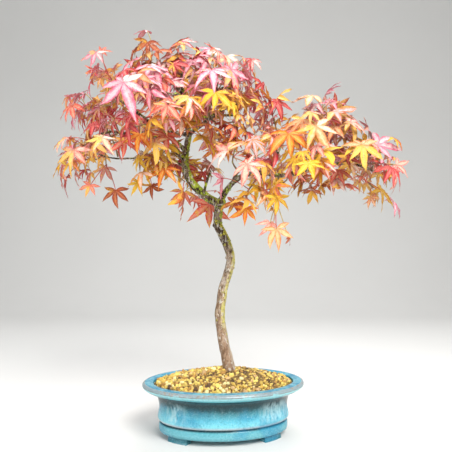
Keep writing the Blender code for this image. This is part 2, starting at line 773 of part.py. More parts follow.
def accept(leaf, owner, solids):
    solids.append(as_solid(owner, "blade", *blade_mesh(leaf)))
    solids.append(as_solid(owner, "stalk", *stalk_mesh(leaf)))


def square_to(direction, face):
    return (direction - face * direction.dot(face)).normalized()


def hand_leaf(blade, twig, solids, owner):
    """Leaf at a place chosen by hand, moved a little nearer or further where it would cut another."""
    turn, lift, aim = (math.radians(angle) for angle in (blade.turn, blade.lift, blade.aim))
    face = Vector((math.sin(turn) * math.cos(lift), -math.cos(turn) * math.cos(lift), math.sin(lift)))
    along = square_to(Vector((math.cos(aim), 0, math.sin(aim))), face)
    for nudge in NUDGES:
        foot = mm(*blade.hub) + mm(0, nudge, 0)
        share = min(HAND_PLACES, key=lambda t: (on_route(twig, t)[0] - foot).length)
        detailed = blade.size >= DETAILED_FROM
        leaf = Leaf(foot, along, face, blade.size, HAND_DROOP, 1, on_route(twig, share)[0], detailed)
        if leaf_is_clear(leaf, owner, solids):
            return leaf
    return None


def any_way(rng):
    return Vector([rng.uniform(-1, 1) for _ in range(3)])


def in_window(place):
    for low, high in WINDOWS:
        if all(least < value / MM < most for least, value, most in zip(low, place, high)):
            return True
    return False


def rule_leaf(number, twig, solids, owner, rng, sizes=LEAF_SIZES):
    """Leaf on a petiole from the twig, hanging outward, at the first draw that has room."""
    root, aim = on_route(twig, LEAF_PLACES[number % len(LEAF_PLACES)])
    side = aim.cross(UP).normalized() * (1 if number % 2 else -1)
    size = rng.uniform(*sizes)
    spread = rng.uniform(*LEAF_SPREADS)
    for attempt in range(TRIES):
        stalk = side * STALK_OUT + aim * STALK_AHEAD + UP * STALK_RISE + any_way(rng) * STALK_WANDER
        stalk.normalize()
        foot = root + stalk * rng.uniform(*STALK_LENGTHS) * MM
        away = crown_side(foot)
        face = (away + UP * FACE_RISE + any_way(rng) * FACE_WANDER).normalized()
        wish = stalk * LOBE_ONWARD - UP * LOBE_FALL + away * LOBE_OUT + any_way(rng) * LOBE_WANDER
        along = square_to(wish, face)
        if along.dot(stalk) < MOST_BENT:
            continue
        if attempt % TRIES_A_SIZE == TRIES_A_SIZE - 1:
            size *= SHRINK
        leaf = Leaf(foot, along, face, size, rng.uniform(*LEAF_DROOPS), spread, root, False)
        if in_window(foot) or in_window(foot + along * size * MM):
            continue
        if leaf_is_clear(leaf, owner, solids):
            return leaf
    return None


def grow_sprays(tubes):
    """Twig and leaves of every spray: all twigs first, then the leaves set by hand, then the rest."""
    solids = [as_solid("wood", "wood", *tube(*each)) for each in tubes]
    samples = wood_samples(tubes)
    twigs = {}
    for spray in SPRAYS:
        twigs[spray.name] = place_twig(spray, samples, solids)
        twig = tube(twigs[spray.name], TWIG_RADII, TWIG_SIDES)
        solids.append(as_solid(spray.name, "twig", *twig))
    leaves = {spray.name: [] for spray in SPRAYS}
    for spray in SPRAYS:
        for blade in spray.blades:
            leaf = hand_leaf(blade, twigs[spray.name], solids, spray.name)
            if leaf:
                leaves[spray.name].append(leaf)
                accept(leaf, spray.name, solids)
    for spray in SPRAYS:
        rng = random.Random(f"{SEED} {spray.name}")
        for number in range(spray.leaves):
            leaf = rule_leaf(number, twigs[spray.name], solids, spray.name, rng)
            if leaf:
                leaves[spray.name].append(leaf)
                accept(leaf, spray.name, solids)
    return twigs, leaves


def make_spray(spray, twig, leaves):
    """One body: the twig with its petioles and blades."""
    look = material(f"leaf_{spray.tone}", LEAF_COLORS[spray.tone], 0.55)
    verts, faces = tube(twig, TWIG_RADII, TWIG_SIDES)
    stem = add_object(f"spray_{spray.name}", [tree_place(vert) for vert in verts], faces, look)
    parts = []
    for number, leaf in enumerate(leaves):
        verts, faces = leaf_mesh(leaf)
        placed = [tree_place(vert) for vert in verts]
        parts.append(add_object(f"leaf_{number}", placed, faces, look))
    if parts:
        combine(stem, parts, "UNION", "MANIFOLD")


def centre_on_base():
    """Moves everything so that the middle of the whole outline stands over the origin."""
    bpy.context.view_layer.update()
    corners = []
    for obj in bpy.context.scene.objects:
        corners += [obj.matrix_world @ vert.co for vert in obj.data.vertices]
    shift = Vector((0, 0, 0))
    for axis in (0, 1):
        values = [corner[axis] for corner in corners]
        shift[axis] = -(min(values) + max(values)) / 2
    for obj in bpy.context.scene.objects:
        obj.location = shift


def main():
    clear_scene()
    make_pot()
    make_screen("drain_screen_left", -DRAIN_OFFSET)
    make_screen("drain_screen_right", DRAIN_OFFSET)
    make_soil()
    tubes = wood_tubes()
    make_trunk(tubes)
    twigs, leaves = grow_sprays(tubes)
    for spray in SPRAYS:
        make_spray(spray, twigs[spray.name], leaves[spray.name])
    centre_on_base()


main()
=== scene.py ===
"""Looks of the Japanese maple bonsai: glazed pot, clay granules, mossy bark and veined autumn leaves.

The tree is grown by the same rules and seeds as its solids, so each fine leaf lies where its solid is.
Listed routes and places are millimetres from the middle of the pot's foot; mm() makes them metres.
"""
import math
import random
from typing import NamedTuple

import bmesh
import bpy
import numpy as np
from mathutils import Matrix, Vector, noise
from mathutils.bvhtree import BVHTree


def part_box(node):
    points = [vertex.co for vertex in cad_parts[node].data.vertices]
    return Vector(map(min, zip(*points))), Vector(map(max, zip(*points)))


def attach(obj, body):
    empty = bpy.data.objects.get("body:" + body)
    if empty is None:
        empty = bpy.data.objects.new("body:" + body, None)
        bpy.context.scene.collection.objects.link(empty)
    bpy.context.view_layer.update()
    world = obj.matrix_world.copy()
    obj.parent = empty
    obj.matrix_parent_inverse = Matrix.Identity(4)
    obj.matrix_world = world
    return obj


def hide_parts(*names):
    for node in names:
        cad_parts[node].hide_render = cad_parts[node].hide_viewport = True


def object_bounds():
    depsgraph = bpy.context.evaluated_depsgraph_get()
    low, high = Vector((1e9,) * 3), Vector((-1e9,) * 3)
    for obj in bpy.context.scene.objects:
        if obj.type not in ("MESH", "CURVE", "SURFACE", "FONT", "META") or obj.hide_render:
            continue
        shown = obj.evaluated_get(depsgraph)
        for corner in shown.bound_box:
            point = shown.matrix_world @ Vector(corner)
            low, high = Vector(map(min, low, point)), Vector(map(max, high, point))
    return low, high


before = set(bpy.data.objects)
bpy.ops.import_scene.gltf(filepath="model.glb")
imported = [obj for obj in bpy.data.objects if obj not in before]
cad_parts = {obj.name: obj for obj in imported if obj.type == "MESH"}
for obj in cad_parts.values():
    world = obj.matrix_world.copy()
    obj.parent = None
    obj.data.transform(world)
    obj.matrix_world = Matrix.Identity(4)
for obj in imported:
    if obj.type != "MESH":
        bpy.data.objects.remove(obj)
cad_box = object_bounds()
pot_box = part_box("pot")
POT_MIDDLE = Vector(((pot_box[0].x + pot_box[1].x) / 2, (pot_box[0].y + pot_box[1].y) / 2, 0))

MM = 0.001
UP = Vector((0, 0, 1))
# Corners of a square ring, and how a mesh keeps three or four values a point
SQUARE = ((1, 1), (-1, 1), (-1, -1), (1, -1))
POINT_VALUES = {3: ("FLOAT_VECTOR", "vector"), 4: ("FLOAT_COLOR", "color")}
# Sockets of a node that mixes two colours
MIX_SHARE = 0
MIX_A = 6
MIX_B = 7
MIX_RESULT = 2

# Pot
POT_LENGTH = 209
POT_DEPTH = 144
# Pairs of inset from the rim's outline and height above the table
POT_OUTSIDE = (
    (24, 7), (21.5, 8.5), (20.9, 13), (21.5, 18), (23.3, 19.5), (21, 21.5), (19.6, 25), (20.4, 31),
    (21.4, 37), (20.6, 45), (17.5, 53), (12.8, 57), (7, 58.7), (3.5, 60.7), (0.8, 63), (0, 65.2),
    (0.8, 67.2), (2.2, 68.2), (5, 69), (12.5, 68.6), (14, 67.4),
)
POT_INSIDE = ((14.6, 64), (20, 57), (27, 47), (28, 37), (28, 17), (33, 14))
FOOT_ANGLES = (40, 140, 220, 320)
FOOT_HALF_SPAN = 13
FOOT_INSETS = (25, 33)
FOOT_SUNK = 1

# Air left between solids
GAP = 0.3

# Soil
SOIL_EDGE = 66
SOIL_MOUND = 82
SOIL_FALL = 1.6
STUMP_BOTTOM = 30

# Trunk, limbs and branches: places of the middle line, then radii spread evenly from root to tip
TREE_TURN = math.radians(-5)
TRUNK_SIDES = 10
LIMB_SIDES = 8
BRANCH_SIDES = 5
TRUNK_ROUTE = (
    (7, 0, STUMP_BOTTOM + 0.5), (7, 0, 68), (7, 0, 84), (2, 0, 107), (-2, 0, 129), (-5, 0, 153),
    (-3, 0, 172), (0, 0, 190), (6, 0, 209), (9, 0, 224), (7, 0, 237), (2, 0, 250), (-4, 0, 262),
    (-8, 0, 272), (-7, 0, 285), (-6, 0, 297),
)
TRUNK_RADII = (8.2, 8.2, 8.2, 7.1, 6.8, 6.5, 6.3, 6.1, 5.9, 5.7, 5.7, 6.2, 6.1, 5.7, 5.7, 5.7)
LEFT_ROUTE = (
    (-6, 0, 290), (-9, 0, 298), (-21, -2, 305), (-33, -5, 315), (-43, -8, 326), (-48, -8, 340),
    (-50, -5, 355), (-48, 0, 371), (-46, 5, 388), (-48, 8, 406), (-52, 8, 424), (-54, 5, 444),
    (-55, 0, 460), (-50, 0, 476),
)
LEFT_RADII = (5.6, 5.5, 4.9, 4, 2.8, 1.5)
RIGHT_ROUTE = (
    (-7, 0, 290), (-5, 0, 298), (-2, -2, 304), (4, -6, 314), (12, -10, 323), (23, -14, 330),
    (36, -16, 333), (51, -16, 334), (69, -14, 331), (87, -10, 333), (108, -6, 340), (133, 0, 346),
    (157, 4, 351), (181, 4, 347), (198, 0, 338),
)
RIGHT_RADII = (4.5, 3.5, 2.9, 2.3, 1.6)
BRANCH_RADII = (3, 1.5)
BRANCH_ROUTES = (
    ((-50, -6, 351), (-58, -10, 360), (-68, -18, 369), (-84, -32, 374), (-108, -48, 374),
     (-135, -56, 374), (-158, -50, 366)),
    ((-49, -3, 364), (-62, -3, 377), (-90, -14, 396), (-118, -22, 416), (-140, -22, 430)),
    ((-46, 5, 388), (-75, 35, 400), (-110, 60, 408), (-138, 72, 402), (-154, 72, 396)),
    ((-48, 8, 406), (-50, -22, 416), (-54, -45, 422), (-60, -62, 416)),
    ((-46, 5, 388), (-24, -15, 398), (0, -30, 410), (18, -38, 414)),
    ((-48, 8, 406), (-20, 30, 420), (5, 48, 428), (30, 58, 430)),
    ((-52, 8, 424), (-25, 5, 440), (0, 2, 448), (22, 0, 446)),
    ((-52, 8, 424), (-60, 40, 438), (-72, 62, 444), (-90, 76, 446)),
    ((-54, 5, 444), (-72, -5, 456), (-90, -8, 464)),
    ((51, -16, 334), (60, -8, 348), (72, 2, 368), (78, 10, 392)),
    ((87, -10, 333), (100, -28, 344), (112, -44, 352), (124, -52, 354)),
    ((108, -6, 340), (122, 5, 362), (132, 12, 384), (138, 18, 402)),
    ((87, -10, 333), (98, 26, 348), (112, 54, 360)),
    ((36, -16, 333), (44, 20, 346), (48, 46, 360)),
    ((12, -10, 323), (18, -34, 334), (28, -46, 336)),
    ((157, 4, 351), (172, -18, 356), (184, -28, 354)),
)
THIN_RADII = (1.9, 1)
THIN_ROUTES = (
    ((-48, -8, 343), (-68, -14, 350), (-92, -22, 352), (-116, -26, 350), (-138, -28, 350),
     (-158, -28, 356)),
)
STUB_ROUTE = ((-25, -3, 308), (-24, -9, 315), (-21, -12, 325), (-16, -14, 337))
STUB_RADII = (2.4, 1.5)

# Twigs
TWIG_SIDES = 4
TWIG_STEPS = 3
TWIG_RADII = (1.3, 0.8)
TWIG_LENGTH = 42
TWIG_ARCH = 0.3
TWIG_NOD = 0.25
TWIGS_FROM = 0.3
FALLING_COST = 15
LEAST_SQUARE = 0.25
ROOT_GAP = 0.4

# Leaves, for a middle lobe of length 1; angles run from the middle lobe to the right
LOBE_ANGLES = (104, 52, 0, -52, -104)
LOBE_LENGTHS = (0.76, 0.95, 1, 0.95, 0.76)
SINUS_REACH = (0.21, 0.24, 0.24, 0.21)
PLAIN_SINUS_SCALE = 1.2
SHOULDER_AT = 0.48
SHOULDER_HALF = 0.125
SHOULDER_RAISE = 0.05
DROOP_POWER = 1.6
DROOP_PULL = 0.6
HUB_AT = 0.06
LEAF_THICKNESS = 0.8
STALK_HALF = 0.6
STALK_LENGTHS = (14, 26)
STALK_BEND_AT = 0.45
STALK_BEND = 0.2
LEAF_SIZES = (25, 32)
LEAF_DROOPS = (0.2, 0.55)
LEAF_SPREADS = (0.76, 1.04)
HAND_DROOP = 0.3
DETAILED_FROM = 24
LEAF_PLACES = (0.97, 0.97, 0.74, 0.74, 0.5, 0.5)
HAND_PLACES = (0.97, 0.75, 0.55)
CLEARANCE = 0.7
CROWN_LEFT = Vector((-60, 0, 0))
CROWN_RIGHT = Vector((150, 0, 0))
CROWN_SPLIT = 60
# Air about the fork where the rule puts no leaf, so that the limbs show: lowest, highest corner
WINDOWS = (((-62, -200, 262), (-2, 8, 372)), ((-2, -200, 262), (26, 8, 338)),
           ((-50, 20, 375), (-26, 200, 428)))
MOST_BENT = 0.35
TRIES = 80
TRIES_A_SIZE = 20
SHRINK = 0.93
SAMPLES_A_SPAN = 3
# Taken off the number of a route's points, so that its very end still lies on its last span
SHORT_OF_END = 1.001
# How a petiole, a face and a middle lobe take their directions, as shares of each wish
STALK_OUT = 0.8
STALK_AHEAD = 0.5
STALK_RISE = 0.1
STALK_WANDER = 0.6
FACE_RISE = 0.8
FACE_WANDER = 0.5
LOBE_ONWARD = 0.6
LOBE_FALL = 0.8
LOBE_OUT = 0.4
LOBE_WANDER = 0.4
NUDGES = (0, 5, -5, 10, -10, 15, -15, 20, -20, 26, -26)
SEED = 11

# Camera, from the photograph: 452 pixels wide, horizon in pixels from the top, places in millimetres
PHOTO_PIXELS = 452
FOCAL_PIXELS = 448
HORIZON_PIXEL = 262
SENSOR = 36
CAMERA_RIGHT = 3
CAMERA_AWAY = 582
CAMERA_HEIGHT = 221.5
NEAREST_SEEN = 0.01

# Stage and lights, in metres and watts
STAGE_COLOR = (0.80, 0.80, 0.79)
STAGE_GREY = (0.5, 0.5, 0.5)
STAGE_NEAR = 3.0
STAGE_BACK = 1.2
STAGE_CURVE = 0.8
STAGE_HIGH = 3.5
STAGE_WIDE = 4.0
STAGE_STEPS = 12
LIGHTS_AIM = (0, 0, 0.3)
# Name, place, width, watts and colour of each light
LIGHTS = (
    ("key", (0.55, -1.1, 1.25), 0.9, 33, (1, 0.98, 0.95)),
    ("fill", (-1.2, -0.9, 0.8), 1.2, 9, (0.95, 0.98, 1)),
    ("top", (0.1, 0.3, 1.5), 1.0, 12, (1, 1, 1)),
)
SKY_COLOR = (0.98, 0.98, 0.97)
SKY_STRENGTH = 0.36

# Fine pot and soil
POT_FINE = 168
POT_ROW_STEPS = 4
POT_SHARP = 50
FOOT_FINE = 10
# How far a foot flares where it stands, and the inset whose glaze it takes
FOOT_FLARE = 0.8
FOOT_GLAZE = 20.0
GRANULE_SEED = 5
GRANULE_SHARP = 26
# A stone: its stretch along each axis, its lumps, how far apart stones draw them, and its flat facets
STONE_STRETCH = ((0.8, 1.25), (0.8, 1.2), (0.65, 0.95))
STONE_LUMPS = 0.4
LUMPS_A_STONE = 1.6
LUMP_SHIFTS = 50
FACETS = 7
FACET_REACH = (0.62, 0.9)
# Packing: tries for each wanted stone, air at the wall, and how near a stone comes to what it meets
TRIES_A_GRANULE = 12
WALL_AIR = 1.5
NEAR_WALL = 0.6
NEAR_TRUNK = 0.7
NEAR_OTHERS = 0.84
SETTLING = (-0.5, 0.6)
GRANULE_SHADES = (0.8, 1.12)
# The bare spot at the back right: how far out it begins, as a share, and the angles that it lies between
BARE_FROM = 0.86
BARE_LOW = 0.25
BARE_HIGH = 1.25
# How many granules a layer wants, how far it is lifted, their radii, and how fine their faces are
GRANULE_LAYERS = ((560, -1.4, (2.0, 3.7), 2), (1100, 0.2, (1.1, 1.9), 1), (480, 0.9, (1.8, 3.6), 2))
GRANULE_TONES = ((0.68, 0.47, 0.11), (0.84, 0.67, 0.18), (0.50, 0.28, 0.08), (0.92, 0.82, 0.42),
                 (0.12, 0.07, 0.04), (0.66, 0.44, 0.21))
GRANULE_SHARES = (28, 32, 15, 12, 5, 8)

# Fine leaves, for a middle lobe of length 1; the first and last lobes are missing on some leaves
FINE_ANGLES = (142, 104, 52, 0, -52, -104, -142)
FINE_LENGTHS = (0.34, 0.76, 0.95, 1.0, 0.95, 0.76, 0.34)
FINE_SINUSES = (0.15, 0.18, 0.2, 0.2, 0.18, 0.15)
LOBE_TURN = 5
LOBE_STRETCH = (0.84, 1.06)
BASAL_SHARE = 0.45
BASE_CUT = 30
BASE_REACH = 0.05
ROWS_IN = 3
ROWS_OUT = 10
COLUMNS = (-1, -0.5, 0, 0.5, 1)
LOBE_SWELL = 0.20
SWELLS = (0.9, 1.1)
LOBE_TAIL = 0.065
TOOTH = 0.012
MERGE_DIGITS = 4
LOBE_SWAY = 0.14
SWAY_WAVES = 6
KEEL = 0.35
LOBE_LIFT = 0.15
LIFT_WAVES = 4
LIFT_FIRST = 1.5
LIFT_SHIFT = 2
RIPPLE = 0.028
RIPPLE_RATE = 19
RIPPLE_SLANT = 2.6
RIPPLE_SHIFTS = 9
TEMPLATES = 12
EXTRA_ROUNDS = 20
LOW_ROUNDS = 9
LOW_SPRAYS = 390
# Bare air among and below the leaves, in the photograph's pixels: left, top, right, bottom
GAPS = ((94, 158, 124, 178), (110, 178, 127, 190), (160, 176, 182, 202), (190, 122, 206, 157),
        (266, 68, 277, 94), (281, 196, 346, 217), (354, 197, 377, 204), (386, 188, 406, 202),
        (372, 130, 392, 148), (176, 214, 202, 240))
EXTRA_SIZES = (18, 31)
GOLDEN_SHARES = (0.0, 0.1, 0.25, 0.45, 0.75)
# Shares of pale painted highlight that a leaf's face may take
PAINTED_HIGHLIGHT_SHARES = (0.0, 0.0, 0.2, 0.4)
# How far the golden and painted highlight shares swing from side to side, how fast, and where they begin
UNEVEN = 0.35
UNEVEN_RATE = 0.9
UNEVEN_SHIFT = 1.5
LEAF_SHADES = (0.85, 1.1)
# Leaves inside the crown get painted shade, darker towards its middle: the middle's height, its reach each
# way and the least brightness
INNER_HEIGHT = 385
INNER_REACH = (110, 85, 90)
INNER_PAINTED_SHADE = 0.45
# Values of a petiole or twig where a blade has its place in a lobe
NO_LOBE = (0, 0, 1)
# Which of a spray's two materials a face takes
BLADE_PICK = 0
STALK_PICK = 1
STALK_STEPS = 5
STALK_SIDES = 5
STALK_RADII = (0.5, 0.65)
TWIG_SLIM = 0.85
TWIG_FINE_STEPS = 2
TWIG_FINE_SIDES = 7
TWIG_LOOK = (0.30, 0.20, 0.10, 1)
STALK_LOOKS = ((0.62, 0.16, 0.12, 1), (0.70, 0.36, 0.18, 1), (0.66, 0.52, 0.16, 1),
               (0.55, 0.10, 0.09, 1))
# Warmth of a leaf's colour by its height and how far out it grows, from gold inside to pink on top
WARM_FROM = 300
WARM_RISE = 180
WARM_REACH = (150, 120)
WARM_BY_HEIGHT = 0.65
WARM_BY_REACH = 0.35
WARM_CHANCE = 0.2
# Just under the number of rows in TONES_BY_WARMTH, so that a warmth of 1 finds the last
WARM_ROWS = 3.99
OWN_TONE = 0.6
HEART_CHANGES = 0.3
# Each tone's colour at a leaf's edge and along its middle
LEAF_LOOKS = {
    "pink": ((0.76, 0.15, 0.245), (0.92, 0.505, 0.57)),
    "crimson": ((0.47, 0.018, 0.035), (0.69, 0.13, 0.12)),
    "coral": ((0.74, 0.08, 0.06), (0.88, 0.33, 0.22)),
    "orange": ((0.70, 0.13, 0.01), (0.85, 0.35, 0.04)),
    "peach": ((0.78, 0.25, 0.09), (0.90, 0.57, 0.30)),
    "gold": ((0.74, 0.33, 0.01), (0.87, 0.56, 0.05)),
    "blush": ((0.78, 0.20, 0.17), (0.91, 0.54, 0.42)),
    "russet": ((0.33, 0.05, 0.02), (0.54, 0.15, 0.05)),
    "cream": ((0.80, 0.29, 0.22), (0.92, 0.72, 0.42)),
}
TONES_BY_WARMTH = (
    ("gold", "orange", "russet", "coral", "blush"),
    ("orange", "coral", "blush", "gold", "crimson", "pink"),
    ("coral", "pink", "crimson", "peach", "pink"),
    ("pink", "pink", "crimson", "coral", "crimson"),
)

# Fine wood and moss
KNOT_FINE = 2
# Each knot's middle and radius
KNOTS = ((-12.0, -1.5, 269.0, 2.8), (4.6, -1.5, 227, 3.0), (12.2, -3, 214, 2.6), (-1, -4, 299, 4.2))
WOOD_STEPS = 3
WOOD_SIDES = 16
WOOD_VOXEL = 0.85
WOOD_SOFTEN = 0.5
WOOD_SOFTENINGS = 3
# Ribs run up the bark and swellings lie anywhere: their widths in millimetres and their heights
RIB_STRETCH = 0.25
RIB_WIDTH = 3.2
RIB_RISE = 0.35
SWELL_WIDTH = 9
SWELL_RISE = 0.55
MOSS_SEED = 3
MOSS_FINE = 1
MOSS_SIZES = (0.5, 1.3)
# Moss on the trunk and the two limbs: from and to which share of the route, and how many tries
MOSS_RUNS = ((0.72, 1.0, 160), (0.0, 0.9, 260), (0.0, 0.75, 260))
MOSS_ON_BRANCH = (0.0, 0.6, 45)
MOSS_FROM = 0.02
MOSS_PATCH = 14
MOSS_SUNK = 0.15
# Which way a tuft looks: more to the right than left, and more up than down
MOSS_WAYS = ((-0.6, 1), (-1, 1), (-0.3, 1))
# Place of the stub, which is bare, in the list of the wood's tubes
STUB = 3

# Colours and veins of the leaves, and of young twigs
VEIN_SLANT = 0.22
VEIN_RATE = 64.0
VEIN = (1.0, 0.82, 0.55)
FLAME = (0.86, 0.13, 0.03)
LEAF_GOLD = (0.90, 0.56, 0.05)
# Pale colour painted on the leaves as a highlight, for light shining off their faces
LEAF_PAINTED_HIGHLIGHT = (0.96, 0.83, 0.74)
LEAF_SHADOW = (0.5, 0.28, 0.26)
TWIG_SHADOW = (0.55, 0.5, 0.45)
TWIG_MOSS = (0.42, 0.45, 0.08)

# Colours of the bark; in a row of tones each colour stands after the pattern's value that it belongs to
BARK_TONES = ((0.36, (0.035, 0.018, 0.010)), (0.46, (0.16, 0.095, 0.05)),
              (0.54, (0.37, 0.255, 0.16)), (0.66, (0.66, 0.55, 0.42)))
BARK_FOOT = (0.36, 0.225, 0.145)
BARK_PLATE = (0.50, 0.42, 0.35)
BARK_HOLLOWS = ((0.17, 0.09, 0.045), (0.050, 0.026, 0.012))
BARK_PIT = (0.040, 0.022, 0.012)
BARK_SHADE = (0.36, 0.32, 0.27)
BARK_GLEAM = (0.68, 0.66, 0.58)
# Painted light: paler colour on the low trunk's side that faces LIT_WAY, right and up, towards the key
# light
BARK_PAINTED_LIGHT = (0.62, 0.56, 0.44)
LIT_WAY = (0.85, -0.1, 0.5)
BARK_MOSS = ((0.32, (0.08, 0.075, 0.01)), (0.46, (0.42, 0.40, 0.03)), (0.64, (0.84, 0.79, 0.12)))
FORK_MOSS = (0.72, 1.0, 0.5)
MOSS_BAND = (0.64, 0.57, 0.20)
MOSS_TONES = ((0.3, (0.08, 0.12, 0.012)), (0.5, (0.27, 0.36, 0.025)), (0.72, (0.50, 0.60, 0.08)))
LICHEN = (0.66, 0.63, 0.56)

# Colours of the clay and the drain screens
CLAY_PORE = (0.45, 0.36, 0.26)
CLAY_DUST = (0.86, 0.74, 0.42)
BED_TONES = ((0.35, (0.05, 0.028, 0.01)), (0.6, (0.30, 0.19, 0.06)), (0.75, (0.56, 0.41, 0.14)))
SCREEN_TONES = ((0.3, (0.015, 0.015, 0.015)), (0.7, (0.045, 0.045, 0.045)))

# Colours of the glaze, with painted shade under the lip: tones by height as a share of GLAZE_TOP, then what
# lies over them
GLAZE_TOP = 70.0
# The dark tones round the neck, from about 40 to 58 millimetres up, are partly the glaze and partly painted
# shade under the lip
GLAZE_AND_SHADE_TONES = (
    (0.06, (0.03, 0.18, 0.23)), (0.17, (0.15, 0.46, 0.53)), (0.25, (0.10, 0.40, 0.48)),
    (0.275, (0.006, 0.030, 0.040)), (0.295, (0.010, 0.045, 0.06)), (0.318, (0.50, 0.56, 0.60)),
    (0.36, (0.20, 0.62, 0.72)), (0.46, (0.12, 0.50, 0.64)), (0.56, (0.060, 0.30, 0.37)),
    (0.64, (0.009, 0.072, 0.087)), (0.72, (0.003, 0.033, 0.042)), (0.825, (0.012, 0.070, 0.090)),
    (0.865, (0.16, 0.50, 0.56)), (0.905, (0.30, 0.64, 0.68)), (0.935, (0.26, 0.58, 0.64)),
)
GLAZE_STREAK = (0.34, 0.66, 0.73)
GLAZE_CLOUD = (0.015, 0.25, 0.44)
GLAZE_THIN = (0.48, 0.72, 0.76)
GLAZE_FLAKE = (0.010, 0.09, 0.115)
GLAZE_SPECK = (0.008, 0.055, 0.07)
GLAZE_PALE = (0.50, 0.76, 0.82)
RIM_POOLS = ((0.012, 0.25, 0.43), (0.12, 0.48, 0.62))
RIM_WORN = (0.27, 0.30, 0.33)
RIM_RUST = (0.34, 0.21, 0.10)
RIM_LINE = (0.20, 0.10, 0.07)
RIM_LINE_AT = 65.4
# Two places where the glaze ran thin: the angle round the pot, then how far off it ends and is full
GLAZE_RUNS = ((3.85, 0.30, 0.05), (5.55, 0.45, 0.1))


class Blade(NamedTuple):
    """A leaf at a given place: hub, length, its lobe's aim and its face's turn and lift in degrees, looks.
    """
    hub: tuple
    size: float
    aim: float
    turn: float
    lift: float
    tone: str
    golden: float
    painted_highlight: float


class Spray(NamedTuple):
    """A leafy twig: its tip, its colour, how many leaves the rule adds, and leaves listed one by one."""
    name: str
    tip: tuple
    tone: str
    leaves: int
    blades: tuple = ()


class Leaf(NamedTuple):
    """A leaf in its place: foot of the blade, middle lobe, upper face, length, and its petiole's root."""
    foot: Vector
    along: Vector
    face: Vector
    size: float
    droop: float
    spread: float
    root: Vector
    detailed: bool


class Solid(NamedTuple):
    """A mesh that later leaves stay clear of."""
    owner: str
    kind: str
    middle: Vector
    reach: float
    tree: BVHTree


